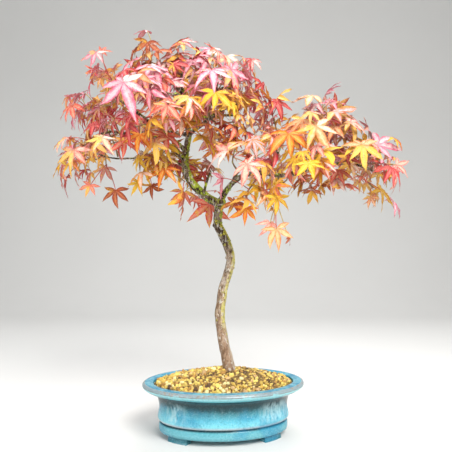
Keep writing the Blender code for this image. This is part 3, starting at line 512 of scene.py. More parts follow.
SPRAYS = (
    Spray("crown_left", (-94, -10, 477), "russet", 1, (
        Blade((-97, -15, 514), 22, 175, 0, 70, "pink", 0, 0.3),
        Blade((-96, -15, 500), 27, -95, 10, 8, "russet", 0.1, 0))),
    Spray("crown_mid", (-60, 5, 489), "crimson", 2, (
        Blade((-70, -10, 492), 34, 38, -70, 40, "coral", 0.1, 0),)),
    Spray("crown_right", (-18, -12, 475), "pink", 2, (
        Blade((-16, -20, 489), 25, -95, 0, 40, "pink", 0, 0.6),
        Blade((-38, -34, 475), 28, -75, 0, 45, "pink", 0, 0.3))),
    Spray("dome_right", (16, 0, 469), "pink", 2, (
        Blade((37, 0, 484), 20, -95, 10, 30, "crimson", 0, 0.45),
        Blade((4, -15, 482), 25, -80, 0, 35, "cream", 0, 0.5),
        Blade((49, 0, 454), 22, -88, 50, 5, "crimson", 0, 0.1))),
    Spray("dome_front_right", (-2, -45, 435), "pink", 2, (
        Blade((-13, -75, 439), 34, -85, 0, 42, "pink", 0.1, 0.3),
        Blade((9, -50, 450), 34, -58, 35, 10, "pink", 0.2, 0.1))),
    Spray("shoulder_left", (-148, -10, 462), "pink", 0, (
        Blade((-157, -30, 480), 24, -100, -10, 25, "pink", 0.1, 0.5),
        Blade((-154, -15, 488), 14, 70, 0, 20, "coral", 0, 0),
        Blade((-164, -20, 462), 15, -100, 55, 10, "coral", 0.2, 0))),
    Spray("big_leaf", (-100, -70, 427), "pink", 2, (
        Blade((-105, -110, 411), 39, -76, -5, 15, "pink", 0, 0.55),)),
    Spray("left_high", (-175, -15, 416), "pink", 2, (
        Blade((-187, -30, 414), 28, -120, -30, 25, "coral", 0, 0.2),)),
    Spray("left_mid", (-142, -45, 385), "crimson", 2, (
        Blade((-153, -50, 385), 25, -140, -20, 40, "crimson", 0, 0.1),
        Blade((-133, -80, 358), 25, -105, 0, 38, "cream", 0.3, 0.5),
        Blade((-114, -64, 362), 25, -92, 10, 22, "coral", 0.35, 0.1))),
    Spray("left_low", (-173, -35, 363), "blush", 1, (
        Blade((-174, -60, 352), 30, -95, -10, 20, "blush", 0.25, 0.35),)),
    Spray("left_end", (-195, -5, 350), "crimson", 2, (
        Blade((-203, -20, 338), 25, -112, -60, 10, "coral", 0.1, 0.3),)),
    Spray("left_under", (-146, -25, 341), "russet", 0, (
        Blade((-158, -50, 313), 18, -110, 0, 15, "coral", 0.2, 0),
        Blade((-153, 0, 344), 22, -110, 0, 20, "blush", 0.2, 0.1),
        Blade((-133, -30, 310), 24, -90, 0, 15, "russet", 0.1, 0))),
    Spray("under_mid", (-96, -35, 341), "gold", 1, (
        Blade((-103, -40, 317), 19, -120, 0, 20, "gold", 0.3, 0),
        Blade((-90, -20, 317), 18, -90, 0, 15, "russet", 0.3, 0))),
    Spray("front_left", (-83, -75, 378), "orange", 2, (
        Blade((-67, -62, 369), 28, -92, 10, 22, "coral", 0.1, 0.1),
        Blade((-95, -72, 367), 26, -100, -5, 25, "orange", 0.4, 0),
        Blade((-78, -66, 358), 25, -84, -10, 12, "peach", 0.3, 0))),
    Spray("front_mid", (-54, -75, 396), "coral", 2, (
        Blade((-59, -105, 388), 27, -100, 0, 38, "coral", 0.1, 0.2),)),
    Spray("front_low", (-37, -60, 378), "orange", 3),
    Spray("front_gold", (-11, -60, 410), "gold", 1, (
        Blade((-8, -92, 409), 29, -95, 0, 25, "gold", 0.5, 0),)),
    Spray("inner_right", (20, -35, 392), "crimson", 3),
    Spray("top_pale", (-79, -40, 444), "pink", 2, (
        Blade((-84, -70, 446), 28, -60, 10, 50, "pink", 0, 0.6),)),
    Spray("neck_right", (60, -5, 420), "crimson", 2, (
        Blade((66, -30, 419), 26, -75, 0, 20, "crimson", 0, 0.2),)),
    Spray("saddle", (73, -40, 376), "orange", 2, (
        Blade((74, -75, 367), 36, -90, 0, 28, "orange", 0, 0.1),)),
    Spray("right_top", (128, 0, 420), "pink", 1, (
        Blade((111, -20, 430), 34, -150, -10, 60, "peach", 0.2, 0.2),
        Blade((136, 0, 432), 28, -20, 10, 58, "pink", 0.1, 0.3))),
    Spray("right_star", (113, -45, 387), "peach", 2, (
        Blade((104, -80, 374), 31, -65, 0, 18, "peach", 0.25, 0.4),)),
    Spray("right_gold", (99, -60, 345), "gold", 2, (
        Blade((93, -95, 329), 28, -80, 0, 45, "gold", 0.4, 0),)),
    Spray("right_peach", (156, -20, 392), "peach", 2, (
        Blade((150, -50, 388), 27, -20, 10, 45, "blush", 0.25, 0.3),)),
    Spray("right_fall", (156, -45, 362), "peach", 2, (
        Blade((157, -75, 354), 33, -82, 10, 20, "peach", 0.35, 0.35),)),
    Spray("right_inner", (141, -15, 330), "coral", 1),
    Spray("right_end_high", (198, -10, 367), "pink", 1, (
        Blade((190, -30, 366), 34, -12, -10, 22, "pink", 0, 0.3),)),
    Spray("right_end", (200, -30, 342), "coral", 1, (
        Blade((212, -42, 341), 24, -35, 10, 20, "blush", 0.1, 0.1),)),
    Spray("right_end_low", (195, 0, 318), "blush", 0, (
        Blade((215, -10, 301), 27, -52, 70, 38, "pink", 0, 0.2),
        Blade((184, -20, 303), 17, -60, 0, 20, "peach", 0.4, 0.2))),
    Spray("heart_peach", (14, -70, 354), "peach", 1, (
        Blade((5, -102, 341), 36, 130, -30, 40, "blush", 0.15, 0.5),)),
    Spray("heart_coral", (38, -58, 345), "coral", 1, (
        Blade((26, -85, 330), 29, -50, 0, 25, "blush", 0, 0.3),)),
    Spray("under_left", (27, -40, 302), "orange", 0, (
        Blade((26, -60, 284), 24, -95, 0, 10, "orange", 0.1, 0),
        Blade((13, -45, 293), 22, -115, -10, 15, "russet", 0.2, 0),
        Blade((-3, -28, 325), 27, -98, 68, 5, "pink", 0, 0))),
    Spray("under_right", (63, -40, 309), "gold", 2, (
        Blade((62, -62, 296), 23, -90, 0, 25, "gold", 0.5, 0),)),
    Spray("drop", (64, -50, 289), "peach", 0, (
        Blade((60, -75, 259), 27, -75, 0, 8, "peach", 0.1, 0.2),
        Blade((78, -46, 251), 11, -50, 50, 10, "russet", 0, 0))),
    Spray("olive", (113, -14, 315), "russet", 0, (
        Blade((111, -20, 311), 20, -60, 0, 10, "russet", 0.3, 0),)),
    Spray("trunk_coral", (-30, 20, 303), "coral", 0, (
        Blade((-19, 15, 298), 39, -97, 0, 10, "coral", 0.1, 0.15),)),
    Spray("fork_behind", (-34, 42, 352), "russet", 0, (
        Blade((-29, 45, 347), 19, -75, 10, 20, "crimson", 0, 0),
        Blade((-42, 40, 335), 20, -60, -10, 25, "russet", 0.3, 0))),
    Spray("trunk_thin", (-48, -20, 322), "orange", 0, (
        Blade((-50, -30, 309), 38, -104, 80, 5, "russet", 0.35, 0.1),)),
    Spray("behind_neck", (-78, 20, 362), "russet", 1, (
        Blade((-61, 8, 354), 31, -82, 0, 20, "crimson", 0.1, 0.1),)),
    Spray("back_left_high", (-162, 60, 440), "crimson", 3),
    Spray("back_left", (-180, 60, 385), "orange", 2),
    Spray("back_crown", (-107, 60, 480), "crimson", 3),
    Spray("back_mid", (-114, 100, 427), "coral", 2),
    Spray("back_top", (-41, 50, 484), "pink", 3),
    Spray("back_heart", (-37, 95, 450), "crimson", 1),
    Spray("back_shoulder", (30, 62, 465), "crimson", 3),
    Spray("back_waist", (-8, 76, 400), "orange", 3),
    Spray("back_neck", (84, 52, 405), "coral", 2),
    Spray("back_right_top", (146, 50, 424), "crimson", 3),
    Spray("back_right", (180, 45, 380), "orange", 2),
    Spray("back_right_end", (214, 32, 360), "peach", 1),
    Spray("back_under", (66, 72, 350), "gold", 2),
    Spray("back_right_low", (128, 80, 368), "coral", 2),
)


# Small helpers

def mm(x, y, z):
    return Vector((x, y, z)) * MM


def route(points):
    return [mm(*point) for point in points]


def blend(a, b, t):
    return a + (b - a) * t


def join(verts, faces, more_verts, more_faces):
    """Adds one mesh to another, with its faces renumbered."""
    start = len(verts)
    verts += more_verts
    faces += [tuple(start + k for k in face) for face in more_faces]


def skin(rings):
    """One closed shell through rings that turn left about the way they run, capped at both ends."""
    count = len(rings[0])
    verts = [point for ring in rings for point in ring]
    faces = [tuple(reversed(range(count)))]
    for row in range(len(rings) - 1):
        low = row * count
        for k in range(count):
            nxt = (k + 1) % count
            faces.append((low + k, low + nxt, low + count + nxt, low + count + k))
    last = (len(rings) - 1) * count
    faces.append(tuple(range(last, last + count)))
    return verts, faces


# Tubes: trunk, limbs, branches and twigs

def tree_place(point):
    """World place of a point that is given from the tree's front."""
    return Matrix.Rotation(TREE_TURN, 3, "Z") @ point + POT_MIDDLE


def directions(points):
    """Unit direction of a route at each of its points."""
    found = []
    for k in range(len(points)):
        before = points[max(k - 1, 0)]
        after = points[min(k + 1, len(points) - 1)]
        found.append((after - before).normalized())
    return found


def radius_at(radii, share):
    """Radius at a share of a route, from radii that are spread evenly along it."""
    spot = share * (len(radii) - 1)
    k = min(int(spot), len(radii) - 2)
    return blend(radii[k], radii[k + 1], spot - k)


def tube(points, radii, sides):
    """Closed tube along a route, its radii spread evenly from the first to the last."""
    aims = directions(points)
    across = aims[0].orthogonal().normalized()
    rings = []
    for k, (point, aim) in enumerate(zip(points, aims)):
        if k:
            across = aims[k - 1].rotation_difference(aim) @ across
        across = (across - aim * across.dot(aim)).normalized()
        other = aim.cross(across)
        radius = radius_at(radii, k / (len(points) - 1)) * MM
        ring = []
        for side in range(sides):
            angle = math.tau * side / sides
            ring.append(point + (across * math.cos(angle) + other * math.sin(angle)) * radius)
        rings.append(ring)
    return skin(rings)


def wood_tubes():
    """Every tube of the grown wood: (route, radii, sides)."""
    tubes = [
        (route(TRUNK_ROUTE), TRUNK_RADII, TRUNK_SIDES),
        (route(LEFT_ROUTE), LEFT_RADII, LIMB_SIDES),
        (route(RIGHT_ROUTE), RIGHT_RADII, LIMB_SIDES),
        (route(STUB_ROUTE), STUB_RADII, BRANCH_SIDES),
    ]
    tubes += [(route(points), BRANCH_RADII, BRANCH_SIDES) for points in BRANCH_ROUTES]
    tubes += [(route(points), THIN_RADII, BRANCH_SIDES) for points in THIN_ROUTES]
    return tubes


# Leaves

def lobe_point(angle, along, across=0.0):
    """Point of a leaf, so far along the lobe at an angle and so far to its right."""
    turn = math.radians(angle)
    right = along * math.sin(turn) + across * math.cos(turn)
    ahead = along * math.cos(turn) - across * math.sin(turn)
    return right, ahead


def leaf_outline(leaf):
    """Outline of a leaf of length 1 from the stalk's right side round to its left, with heights."""
    points = []
    angles = [angle * leaf.spread for angle in LOBE_ANGLES]
    for lobe, (angle, length) in enumerate(zip(angles, LOBE_LENGTHS)):
        shoulders = leaf.detailed and 0 < lobe < len(LOBE_ANGLES) - 1
        if shoulders:
            points.append((*lobe_point(angle, length * SHOULDER_AT, SHOULDER_HALF), SHOULDER_RAISE))
        points.append((*lobe_point(angle, length), 0))
        if shoulders:
            points.append((*lobe_point(angle, length * SHOULDER_AT, -SHOULDER_HALF), SHOULDER_RAISE))
        if lobe < len(SINUS_REACH):
            between = (angle + angles[lobe + 1]) / 2
            reach = SINUS_REACH[lobe] * (1 if leaf.detailed else PLAIN_SINUS_SCALE)
            points.append((*lobe_point(between, reach), 0))
    return points


def stalk_bend(leaf):
    """Where a petiole bends between the foot of its blade and its root."""
    span = leaf.root - leaf.foot
    return leaf.foot + span * STALK_BEND_AT - leaf.along * span.length * STALK_BEND


def blade_mesh(leaf, grow=0.0):
    """Blade alone, open at the foot: points and faces of its two sides and its edge."""
    right = leaf.along.cross(leaf.face).normalized()
    size = leaf.size * MM
    half = (STALK_HALF + grow) * MM / size
    outline = [(half, 0, 0)] + leaf_outline(leaf) + [(-half, 0, 0)]
    thin = (LEAF_THICKNESS / 2 + grow) * MM
    top = []
    for x, y, raised in [(0, HUB_AT, 0)] + outline:
        reach = math.hypot(x, y)
        height = raised - leaf.droop * reach ** DROOP_POWER
        drawn = 1 - DROOP_PULL * leaf.droop ** 2 * reach
        top.append(leaf.foot + (right * x * drawn + leaf.along * y * drawn + leaf.face * height) * size)
    verts = [point + leaf.face * thin for point in top] + [point - leaf.face * thin for point in top]
    under = len(top)
    last = under - 1
    faces = []
    for k in range(1, last):
        faces.append((0, k, k + 1))
        faces.append((under, under + k + 1, under + k))
        faces.append((k, under + k, under + k + 1))
        faces.append((k, under + k + 1, k + 1))
    faces.append((0, last, 1))
    faces.append((under, under + 1, under + last))
    return verts, faces


def stalk_mesh(leaf, grow=0.0):
    """Petiole alone, open at the blade: its first ring is the foot of the blade."""
    points = [leaf.foot, stalk_bend(leaf), leaf.root] if leaf.detailed else [leaf.foot, leaf.root]
    aims = directions(points)
    aims[0] = -leaf.along
    right = leaf.along.cross(leaf.face).normalized()
    face = leaf.face.copy()
    half = (STALK_HALF + grow) * MM
    thin = (LEAF_THICKNESS / 2 + grow) * MM
    rings = []
    for k, point in enumerate(points):
        if k:
            turn = aims[k - 1].rotation_difference(aims[k])
            right = turn @ right
            face = turn @ face
        rings.append([point + right * half * x + face * thin * z for x, z in SQUARE])
    verts, faces = skin(rings)
    return verts, faces[1:]


# Places of twigs and leaves

def as_solid(owner, kind, verts, faces):
    middle = sum(verts, Vector()) / len(verts)
    reach = max((vert - middle).length for vert in verts)
    return Solid(owner, kind, middle, reach, BVHTree.FromPolygons(verts, faces))


def crossing(candidate, solids, allowed=()):
    """Whether a solid cuts any other, apart from its own spray's kinds that it may touch."""
    for other in solids:
        if other.owner == candidate.owner and other.kind in allowed:
            continue
        if (other.middle - candidate.middle).length > other.reach + candidate.reach:
            continue
        if candidate.tree.overlap(other.tree):
            return True
    return False


def crown_middle(point):
    """Middle, in millimetres, of the half of the crown that a place belongs to."""
    return CROWN_LEFT if point.x < CROWN_SPLIT * MM else CROWN_RIGHT


def crown_side(point):
    """Level direction away from the middle of the nearer part of the crown."""
    middle = crown_middle(point)
    away = Vector((point.x - middle.x * MM, point.y - middle.y * MM, 0))
    return away.normalized()


def wood_samples(tubes):
    """Places on the limbs and branches where a twig may leave: (place, direction, radius)."""
    samples = []
    for points, radii, _ in tubes[1:STUB] + tubes[STUB + 1:]:
        aims = directions(points)
        spans = len(points) - 1
        for k in range(spans):
            for step in range(SAMPLES_A_SPAN):
                share = (k + step / SAMPLES_A_SPAN) / spans
                if share < TWIGS_FROM:
                    continue
                place = blend(points[k], points[k + 1], step / SAMPLES_A_SPAN)
                samples.append((place, aims[k], radius_at(radii, share)))
    return samples


def twig_route(root, leave, tip):
    """Curve that leaves the wood square to it and arches over to the tip."""
    span = tip - root
    first = root + leave * span.length * TWIG_ARCH
    second = tip - (span.normalized() - UP * TWIG_NOD) * span.length * TWIG_ARCH
    points = []
    for step in range(TWIG_STEPS + 1):
        t = step / TWIG_STEPS
        near = blend(root, first, t)
        mid = blend(first, second, t)
        far = blend(second, tip, t)
        points.append(blend(blend(near, mid, t), blend(mid, far, t), t))
    return points


def place_twig(spray, samples, solids):
    """Route of a spray's twig from the best place on the wood that it can leave clear."""
    tip = mm(*spray.tip)
    ranked = []
    for number, (place, _, _) in enumerate(samples):
        span = tip - place
        falling = max(0, -span.normalized().z)
        ranked.append((abs(span.length - TWIG_LENGTH * MM) + FALLING_COST * MM * falling, number))
    ranked.sort()
    for _, number in ranked:
        place, aim, radius = samples[number]
        span = tip - place
        leave = span - aim * span.dot(aim)
        if leave.length < LEAST_SQUARE * span.length:
            continue
        leave.normalize()
        root = place + leave * (radius + ROOT_GAP) * MM
        points = twig_route(root, leave, tip)
        verts, faces = tube(points, [r + GAP for r in TWIG_RADII], TWIG_SIDES)
        verts = [vert + leave * GAP * MM for vert in verts]
        if not crossing(as_solid(spray.name, "twig", verts, faces), solids):
            return points
    raise RuntimeError(f"No clear place for the twig of {spray.name}")


def on_route(points, share):
    """Place and direction at a share of a route."""
    spot = min(share * (len(points) - 1), len(points) - SHORT_OF_END)
    k = int(spot)
    return blend(points[k], points[k + 1], spot - k), (points[k + 1] - points[k]).normalized()


def leaf_is_clear(leaf, owner, solids):
    """Whether a leaf has room: its blade from everything, its petiole from the other sprays."""
    blade = as_solid(owner, "blade", *blade_mesh(leaf, CLEARANCE))
    if crossing(blade, solids):
        return False
    stalk = as_solid(owner, "stalk", *stalk_mesh(leaf, GAP))
    return not crossing(stalk, solids, ("twig", "stalk"))


def accept(leaf, owner, solids):
    solids.append(as_solid(owner, "blade", *blade_mesh(leaf)))
    solids.append(as_solid(owner, "stalk", *stalk_mesh(leaf)))


def square_to(direction, face):
    return (direction - face * direction.dot(face)).normalized()


def hand_leaf(blade, twig, solids, owner):
    """Leaf at a listed place, moved a little nearer or further where it would cut another."""
    turn, lift, aim = (math.radians(angle) for angle in (blade.turn, blade.lift, blade.aim))
    face = Vector((math.sin(turn) * math.cos(lift), -math.cos(turn) * math.cos(lift), math.sin(lift)))
    along = square_to(Vector((math.cos(aim), 0, math.sin(aim))), face)
    for nudge in NUDGES:
        foot = mm(*blade.hub) + mm(0, nudge, 0)
        share = min(HAND_PLACES, key=lambda t: (on_route(twig, t)[0] - foot).length)
        detailed = blade.size >= DETAILED_FROM
        leaf = Leaf(foot, along, face, blade.size, HAND_DROOP, 1, on_route(twig, share)[0], detailed)
        if leaf_is_clear(leaf, owner, solids):
            return leaf
    return None


def any_way(rng):
    return Vector([rng.uniform(-1, 1) for _ in range(3)])


def in_window(place):
    for low, high in WINDOWS:
        if all(least < value / MM < most for least, value, most in zip(low, place, high)):
            return True
    return False


def rule_leaf(number, twig, solids, owner, rng, sizes=LEAF_SIZES):
    """Leaf on a petiole from the twig, hanging outward, at the first draw that has room."""
    root, aim = on_route(twig, LEAF_PLACES[number % len(LEAF_PLACES)])
    side = aim.cross(UP).normalized() * (1 if number % 2 else -1)
    size = rng.uniform(*sizes)
    spread = rng.uniform(*LEAF_SPREADS)
    for attempt in range(TRIES):
        stalk = side * STALK_OUT + aim * STALK_AHEAD + UP * STALK_RISE + any_way(rng) * STALK_WANDER
        stalk.normalize()
        foot = root + stalk * rng.uniform(*STALK_LENGTHS) * MM
        away = crown_side(foot)
        face = (away + UP * FACE_RISE + any_way(rng) * FACE_WANDER).normalized()
        wish = stalk * LOBE_ONWARD - UP * LOBE_FALL + away * LOBE_OUT + any_way(rng) * LOBE_WANDER
        along = square_to(wish, face)
        if along.dot(stalk) < MOST_BENT:
            continue
        if attempt % TRIES_A_SIZE == TRIES_A_SIZE - 1:
            size *= SHRINK
        leaf = Leaf(foot, along, face, size, rng.uniform(*LEAF_DROOPS), spread, root, False)
        if in_window(foot) or in_window(foot + along * size * MM):
            continue
        if leaf_is_clear(leaf, owner, solids):
            return leaf
    return None


def grow_sprays(tubes):
    """Twig and leaves of every spray: all twigs first, then the listed leaves, then the rest."""
    solids = [as_solid("wood", "wood", *tube(*each)) for each in tubes]
    samples = wood_samples(tubes)
    twigs = {}
    for spray in SPRAYS:
        twigs[spray.name] = place_twig(spray, samples, solids)
        twig = tube(twigs[spray.name], TWIG_RADII, TWIG_SIDES)
        solids.append(as_solid(spray.name, "twig", *twig))
    leaves = {spray.name: [] for spray in SPRAYS}
    for spray in SPRAYS:
        for blade in spray.blades:
            leaf = hand_leaf(blade, twigs[spray.name], solids, spray.name)
            if leaf:
                leaves[spray.name].append(leaf)
                accept(leaf, spray.name, solids)
    for spray in SPRAYS:
        rng = random.Random(f"{SEED} {spray.name}")
        for number in range(spray.leaves):
            leaf = rule_leaf(number, twigs[spray.name], solids, spray.name, rng)
            if leaf:
                leaves[spray.name].append(leaf)
                accept(leaf, spray.name, solids)
    return twigs, leaves, solids


# Materials

class Signal:
    """Output of a node. Adding, multiplying and so on put in the math node that does it."""

    def __init__(self, nodes, socket):
        self.nodes = nodes
        self.socket = socket

    def __add__(self, other):
        return self.nodes.math("ADD", self, other)

    def __sub__(self, other):
        return self.nodes.math("SUBTRACT", self, other)

    def __mul__(self, other):
        return self.nodes.math("MULTIPLY", self, other)

    def __truediv__(self, other):
        return self.nodes.math("DIVIDE", self, other)

    def __abs__(self):
        return self.nodes.math("ABSOLUTE", self)


class Nodes:
    """Short way to build a material: each call adds a node and returns its output as a signal."""

    def __init__(self, name, roughness, **sockets):
        self.material = bpy.data.materials.new(name)
        self.material.use_nodes = True
        self.tree = self.material.node_tree
        self.shader = self.tree.nodes["Principled BSDF"]
        self.color = None
        self.finish(Roughness=roughness, **sockets)

    def add(self, kind, output=0, inputs=None, **settings):
        made = self.tree.nodes.new(kind)
        for key, value in settings.items():
            setattr(made, key, value)
        for key, value in (inputs or {}).items():
            self.put(made.inputs[key], value)
        return Signal(self, made.outputs[output])

    def put(self, socket, value):
        if isinstance(value, Signal):
            self.tree.links.new(value.socket, socket)
        else:
            socket.default_value = value

    def finish(self, **sockets):
        for key, value in sockets.items():
            self.put(self.shader.inputs[key.replace("_", " ")], value)
        return self.material

    def place(self, stretch=(1, 1, 1)):
        where = self.add("ShaderNodeTexCoord", "Object")
        return self.add("ShaderNodeMapping", inputs={"Vector": where, "Scale": stretch})

    def noise(self, scale, detail=3.0, where=None, rough=0.55):
        where = where or self.place()
        inputs = {"Vector": where, "Scale": scale, "Detail": detail, "Roughness": rough}
        return self.add("ShaderNodeTexNoise", "Fac", inputs)

    def cells(self, scale):
        return self.add("ShaderNodeTexVoronoi", "Distance", {"Vector": self.place(), "Scale": scale})

    def span(self, value, low, high, to_low=0.0, to_high=1.0):
        """Smooth change from to_low to to_high while the value goes from low to high."""
        inputs = {"Value": value, "From Min": low, "From Max": high, "To Min": to_low, "To Max": to_high}
        return self.add("ShaderNodeMapRange", 0, inputs, interpolation_type="SMOOTHSTEP")

    def math(self, operation, a, b=0.0):
        return self.add("ShaderNodeMath", 0, {0: a, 1: b}, operation=operation)

    def mix(self, share, a, b, kind="MIX"):
        """Colour a with a share of colour b over it."""
        a, b = ((*color, 1) if isinstance(color, tuple) else color for color in (a, b))
        inputs = {MIX_SHARE: share, MIX_A: a, MIX_B: b}
        return self.add("ShaderNodeMix", MIX_RESULT, inputs, data_type="RGBA", blend_type=kind)

    def dim(self, color, by):
        return self.mix(1.0, color, by, "MULTIPLY")

    def paint(self, share, tone):
        """Lays a share of a tone over the colour so far."""
        self.color = self.mix(share, self.color, tone)

    def ramp(self, value, stops):
        made = self.tree.nodes.new("ShaderNodeValToRGB")
        self.put(made.inputs[0], value)
        band = made.color_ramp
        while len(band.elements) < len(stops):
            band.elements.new(0.5)
        for element, (position, color) in zip(band.elements, stops):
            element.position = position
            element.color = (*color, 1)
        return Signal(self, made.outputs[0])

    def bump(self, height, strength, distance):
        inputs = {"Height": height, "Strength": strength, "Distance": distance * MM}
        return self.add("ShaderNodeBump", 0, inputs)

    def attribute(self, name, output="Color"):
        return self.add("ShaderNodeAttribute", output, attribute_name=name)

    def axis(self, vector, name):
        return self.add("ShaderNodeSeparateXYZ", name, {0: vector})


def leaf_material():
    """Autumn leaf: one colour along its lobes, a deeper one at its edge, gold parts, pale patches of
    painted highlight, veins.
    """
    n = Nodes("leaf_looks", 0.36, Specular_IOR_Level=0.2)
    rim = n.attribute("tint")
    heart = n.attribute("blush")
    golden = n.attribute("tint", "Alpha")
    # The blush attribute's alpha holds the leaf's share of painted highlight
    painted_highlight = n.attribute("blush", "Alpha")
    lobe = n.attribute("lobe", "Vector")
    across = abs(n.axis(lobe, "X"))
    along = n.axis(lobe, "Y")
    wave = n.math("SINE", (along - across * VEIN_SLANT) * VEIN_RATE)
    side_vein = n.span(wave, 0.8, 1.0) * n.span(across, 1.0, 0.35)
    midrib = n.span(across, 0.10, 0.02)
    blotch = n.noise(120.0, 5.0, rough=0.68)
    mottle = n.noise(300.0, 4.0, rough=0.7)
    speck = n.noise(650.0, 3.0)
    drift = (blotch - 0.5) * 1.9
    grain = mottle - 0.5
    n.color = n.mix(n.span(across + drift + grain, 0.15, 0.9), heart, rim)
    flame = n.span(n.noise(170.0, 5.0, n.place((1, 1, 0.7)), 0.7), 0.53, 0.64)
    n.paint(flame * 0.55, n.mix(0.45, rim, FLAME))
    gold = n.mix(0.2, LEAF_GOLD, heart)
    amount = golden - grain * 0.5 + drift * 0.55 + n.span(along, 0.7, 1.1) * 0.15
    n.paint(n.span(amount, 0.40, 0.60) * 0.9, gold)
    # Painted highlight: pale patches over the leaf for light shining off its face
    amount = painted_highlight + grain - across * 0.25
    n.paint(n.span(amount, 0.4, 0.8) * 0.8, LEAF_PAINTED_HIGHLIGHT)
    deep = n.dim(rim, LEAF_SHADOW)
    n.paint(n.span(speck, 0.57, 0.69, 0.0, 0.5), deep)
    n.paint(n.span(across, 0.8, 1.0) * 0.45, deep)
    pale = n.mix(0.5, heart, VEIN)
    n.paint(side_vein * 0.3, pale)
    hub = n.span(along, 0.22, 0.0)
    n.paint(hub * 0.45, rim)
    n.paint(midrib * 0.6, pale)
    relief = midrib * 0.8 + side_vein * 0.35 + mottle * 0.9
    rough = n.span(mottle, 0.3, 0.7, 0.26, 0.5)
    return n.finish(Base_Color=n.color, Roughness=rough, Normal=n.bump(relief, 0.8, 0.6))


def twig_material():
    """Petioles and young twigs: each one's own colour, with darker grain and a little moss."""
    n = Nodes("twig_looks", 0.5)
    tint = n.attribute("tint")
    grain = n.noise(300.0, 4.0, n.place((1, 1, 0.4)))
    moss = n.noise(90.0, 4.0)
    n.color = n.mix(n.span(grain, 0.35, 0.7), tint, n.dim(tint, TWIG_SHADOW))
    n.paint(n.span(moss, 0.6, 0.7, 0.0, 0.5), TWIG_MOSS)
    return n.finish(Base_Color=n.color, Normal=n.bump(grain, 0.5, 0.4))


def bark_material():
    """Brown bark with pale plates and dark fissures, painted light on the low trunk's lit side, and
    yellow-green moss and lichen higher up.

    Heights are metres above the table.
    """
    n = Nodes("bark_looks", 0.75)
    fissure = n.noise(330.0, 7.0, n.place((1, 1, 0.35)), 0.72)
    plate = n.noise(95.0, 5.0, n.place((1, 1, 0.5)), 0.62)
    height = n.axis(n.add("ShaderNodeTexCoord", "Object"), "Z")
    higher = n.span(height, 0.15, 0.30)
    n.color = n.ramp(fissure, BARK_TONES)
    n.paint(n.span(height, 0.19, 0.11, 0.0, 0.6), BARK_FOOT)
    n.paint(n.span(plate, 0.53, 0.62, 0.0, 0.7), BARK_PLATE)
    dark = n.mix(higher, *BARK_HOLLOWS)
    n.paint(n.span(plate, 0.48, 0.38, 0.0, 0.85), dark)
    pits = n.span(n.noise(520.0, 4.0, n.place((1, 1, 0.7))), 0.56, 0.62)
    n.paint(pits * n.span(higher, 0.0, 1.0, 0.35, 0.8), BARK_PIT)
    shaded = n.dim(n.color, BARK_SHADE)
    n.paint(n.span(height, 0.19, 0.27, 0.0, 0.85), shaded)
    gleam = n.span(n.noise(240.0, 5.0, n.place((1.4, 1, 0.4)), 0.65), 0.55, 0.62)
    n.paint(gleam * (higher * 0.8), BARK_GLEAM)
    normal = n.add("ShaderNodeNewGeometry", "Normal")
    facing = n.add("ShaderNodeVectorMath", "Value", {0: normal, 1: LIT_WAY}, operation="DOT_PRODUCT")
    # Painted light: the low trunk's side that faces LIT_WAY turns paler
    edge = n.span(facing, 0.5, 0.95) * n.span(height, 0.2, 0.13)
    n.paint(edge * 0.4, BARK_PAINTED_LIGHT)
    patch = n.noise(150.0, 6.0, rough=0.7)
    gain = n.span(facing, 0.0, 0.9, 0.0, 0.16) + higher * 0.01 - n.span(height, 0.16, 0.10, 0.0, 0.2)
    fork = n.span(height, 0.290, 0.300) * n.span(height, 0.335, 0.315)
    gain = gain + fork * 0.06
    moss = n.span(patch + gain, 0.59, 0.64)
    moss_color = n.ramp(n.noise(620.0, 3.0), BARK_MOSS)
    moss_color = n.mix(n.span(height, 0.285, 0.31), moss_color, n.dim(moss_color, FORK_MOSS))
    n.paint(moss * 0.9, moss_color)
    right = n.axis(normal, "X")
    band = n.span(right, 0.0, 0.3) * n.span(right, 0.99, 0.86)
    stretch = n.span(height, 0.125, 0.155) * n.span(height, 0.250, 0.225)
    band = band * stretch * n.span(n.noise(260.0, 5.0), 0.38, 0.5)
    n.paint(band * 0.85, MOSS_BAND)
    lichen = n.span(n.noise(210.0, 4.0, n.place((1.3, 1, 0.8))), 0.59, 0.63)
    n.paint(lichen * 0.7, LICHEN)
    rough = n.span(fissure, 0.4, 0.7, 0.9, 0.5)
    return n.finish(Base_Color=n.color, Roughness=rough, Normal=n.bump(fissure + moss * 0.5, 1.0, 1.6))


def moss_material():
    """Yellow-green moss tufts."""
    n = Nodes("moss_looks", 0.95, Sheen_Weight=0.3)
    n.color = n.ramp(n.noise(700.0, 3.0), MOSS_TONES)
    return n.finish(Base_Color=n.color, Normal=n.bump(n.noise(1500.0), 0.8, 0.6))


def granule_material():
    """Baked clay: each granule's own ochre, with pores and dust."""
    n = Nodes("granule_looks", 0.95)
    tint = n.attribute("tint")
    pores = n.noise(900.0, 4.0)
    dust = n.noise(330.0, 3.0)
    n.color = n.mix(n.span(pores, 0.42, 0.3), tint, n.dim(tint, CLAY_PORE))
    n.paint(n.span(dust, 0.55, 0.75, 0.0, 0.35), CLAY_DUST)
    return n.finish(Base_Color=n.color, Normal=n.bump(pores, 0.8, 0.5))


def bed_material():
    """Shaded clay that shows between the granules."""
    n = Nodes("soil_bed_looks", 1.0)
    n.color = n.ramp(n.noise(420.0, 4.0), BED_TONES)
    return n.finish(Base_Color=n.color, Normal=n.bump(n.cells(260.0), 1.0, 1.5))


def screen_material():
    """Black plastic of the drain screens."""
    n = Nodes("screen_looks", 0.5)
    n.color = n.ramp(n.noise(200.0), SCREEN_TONES)
    return n.finish(Base_Color=n.color, Normal=n.bump(n.noise(800.0), 0.3, 0.2))


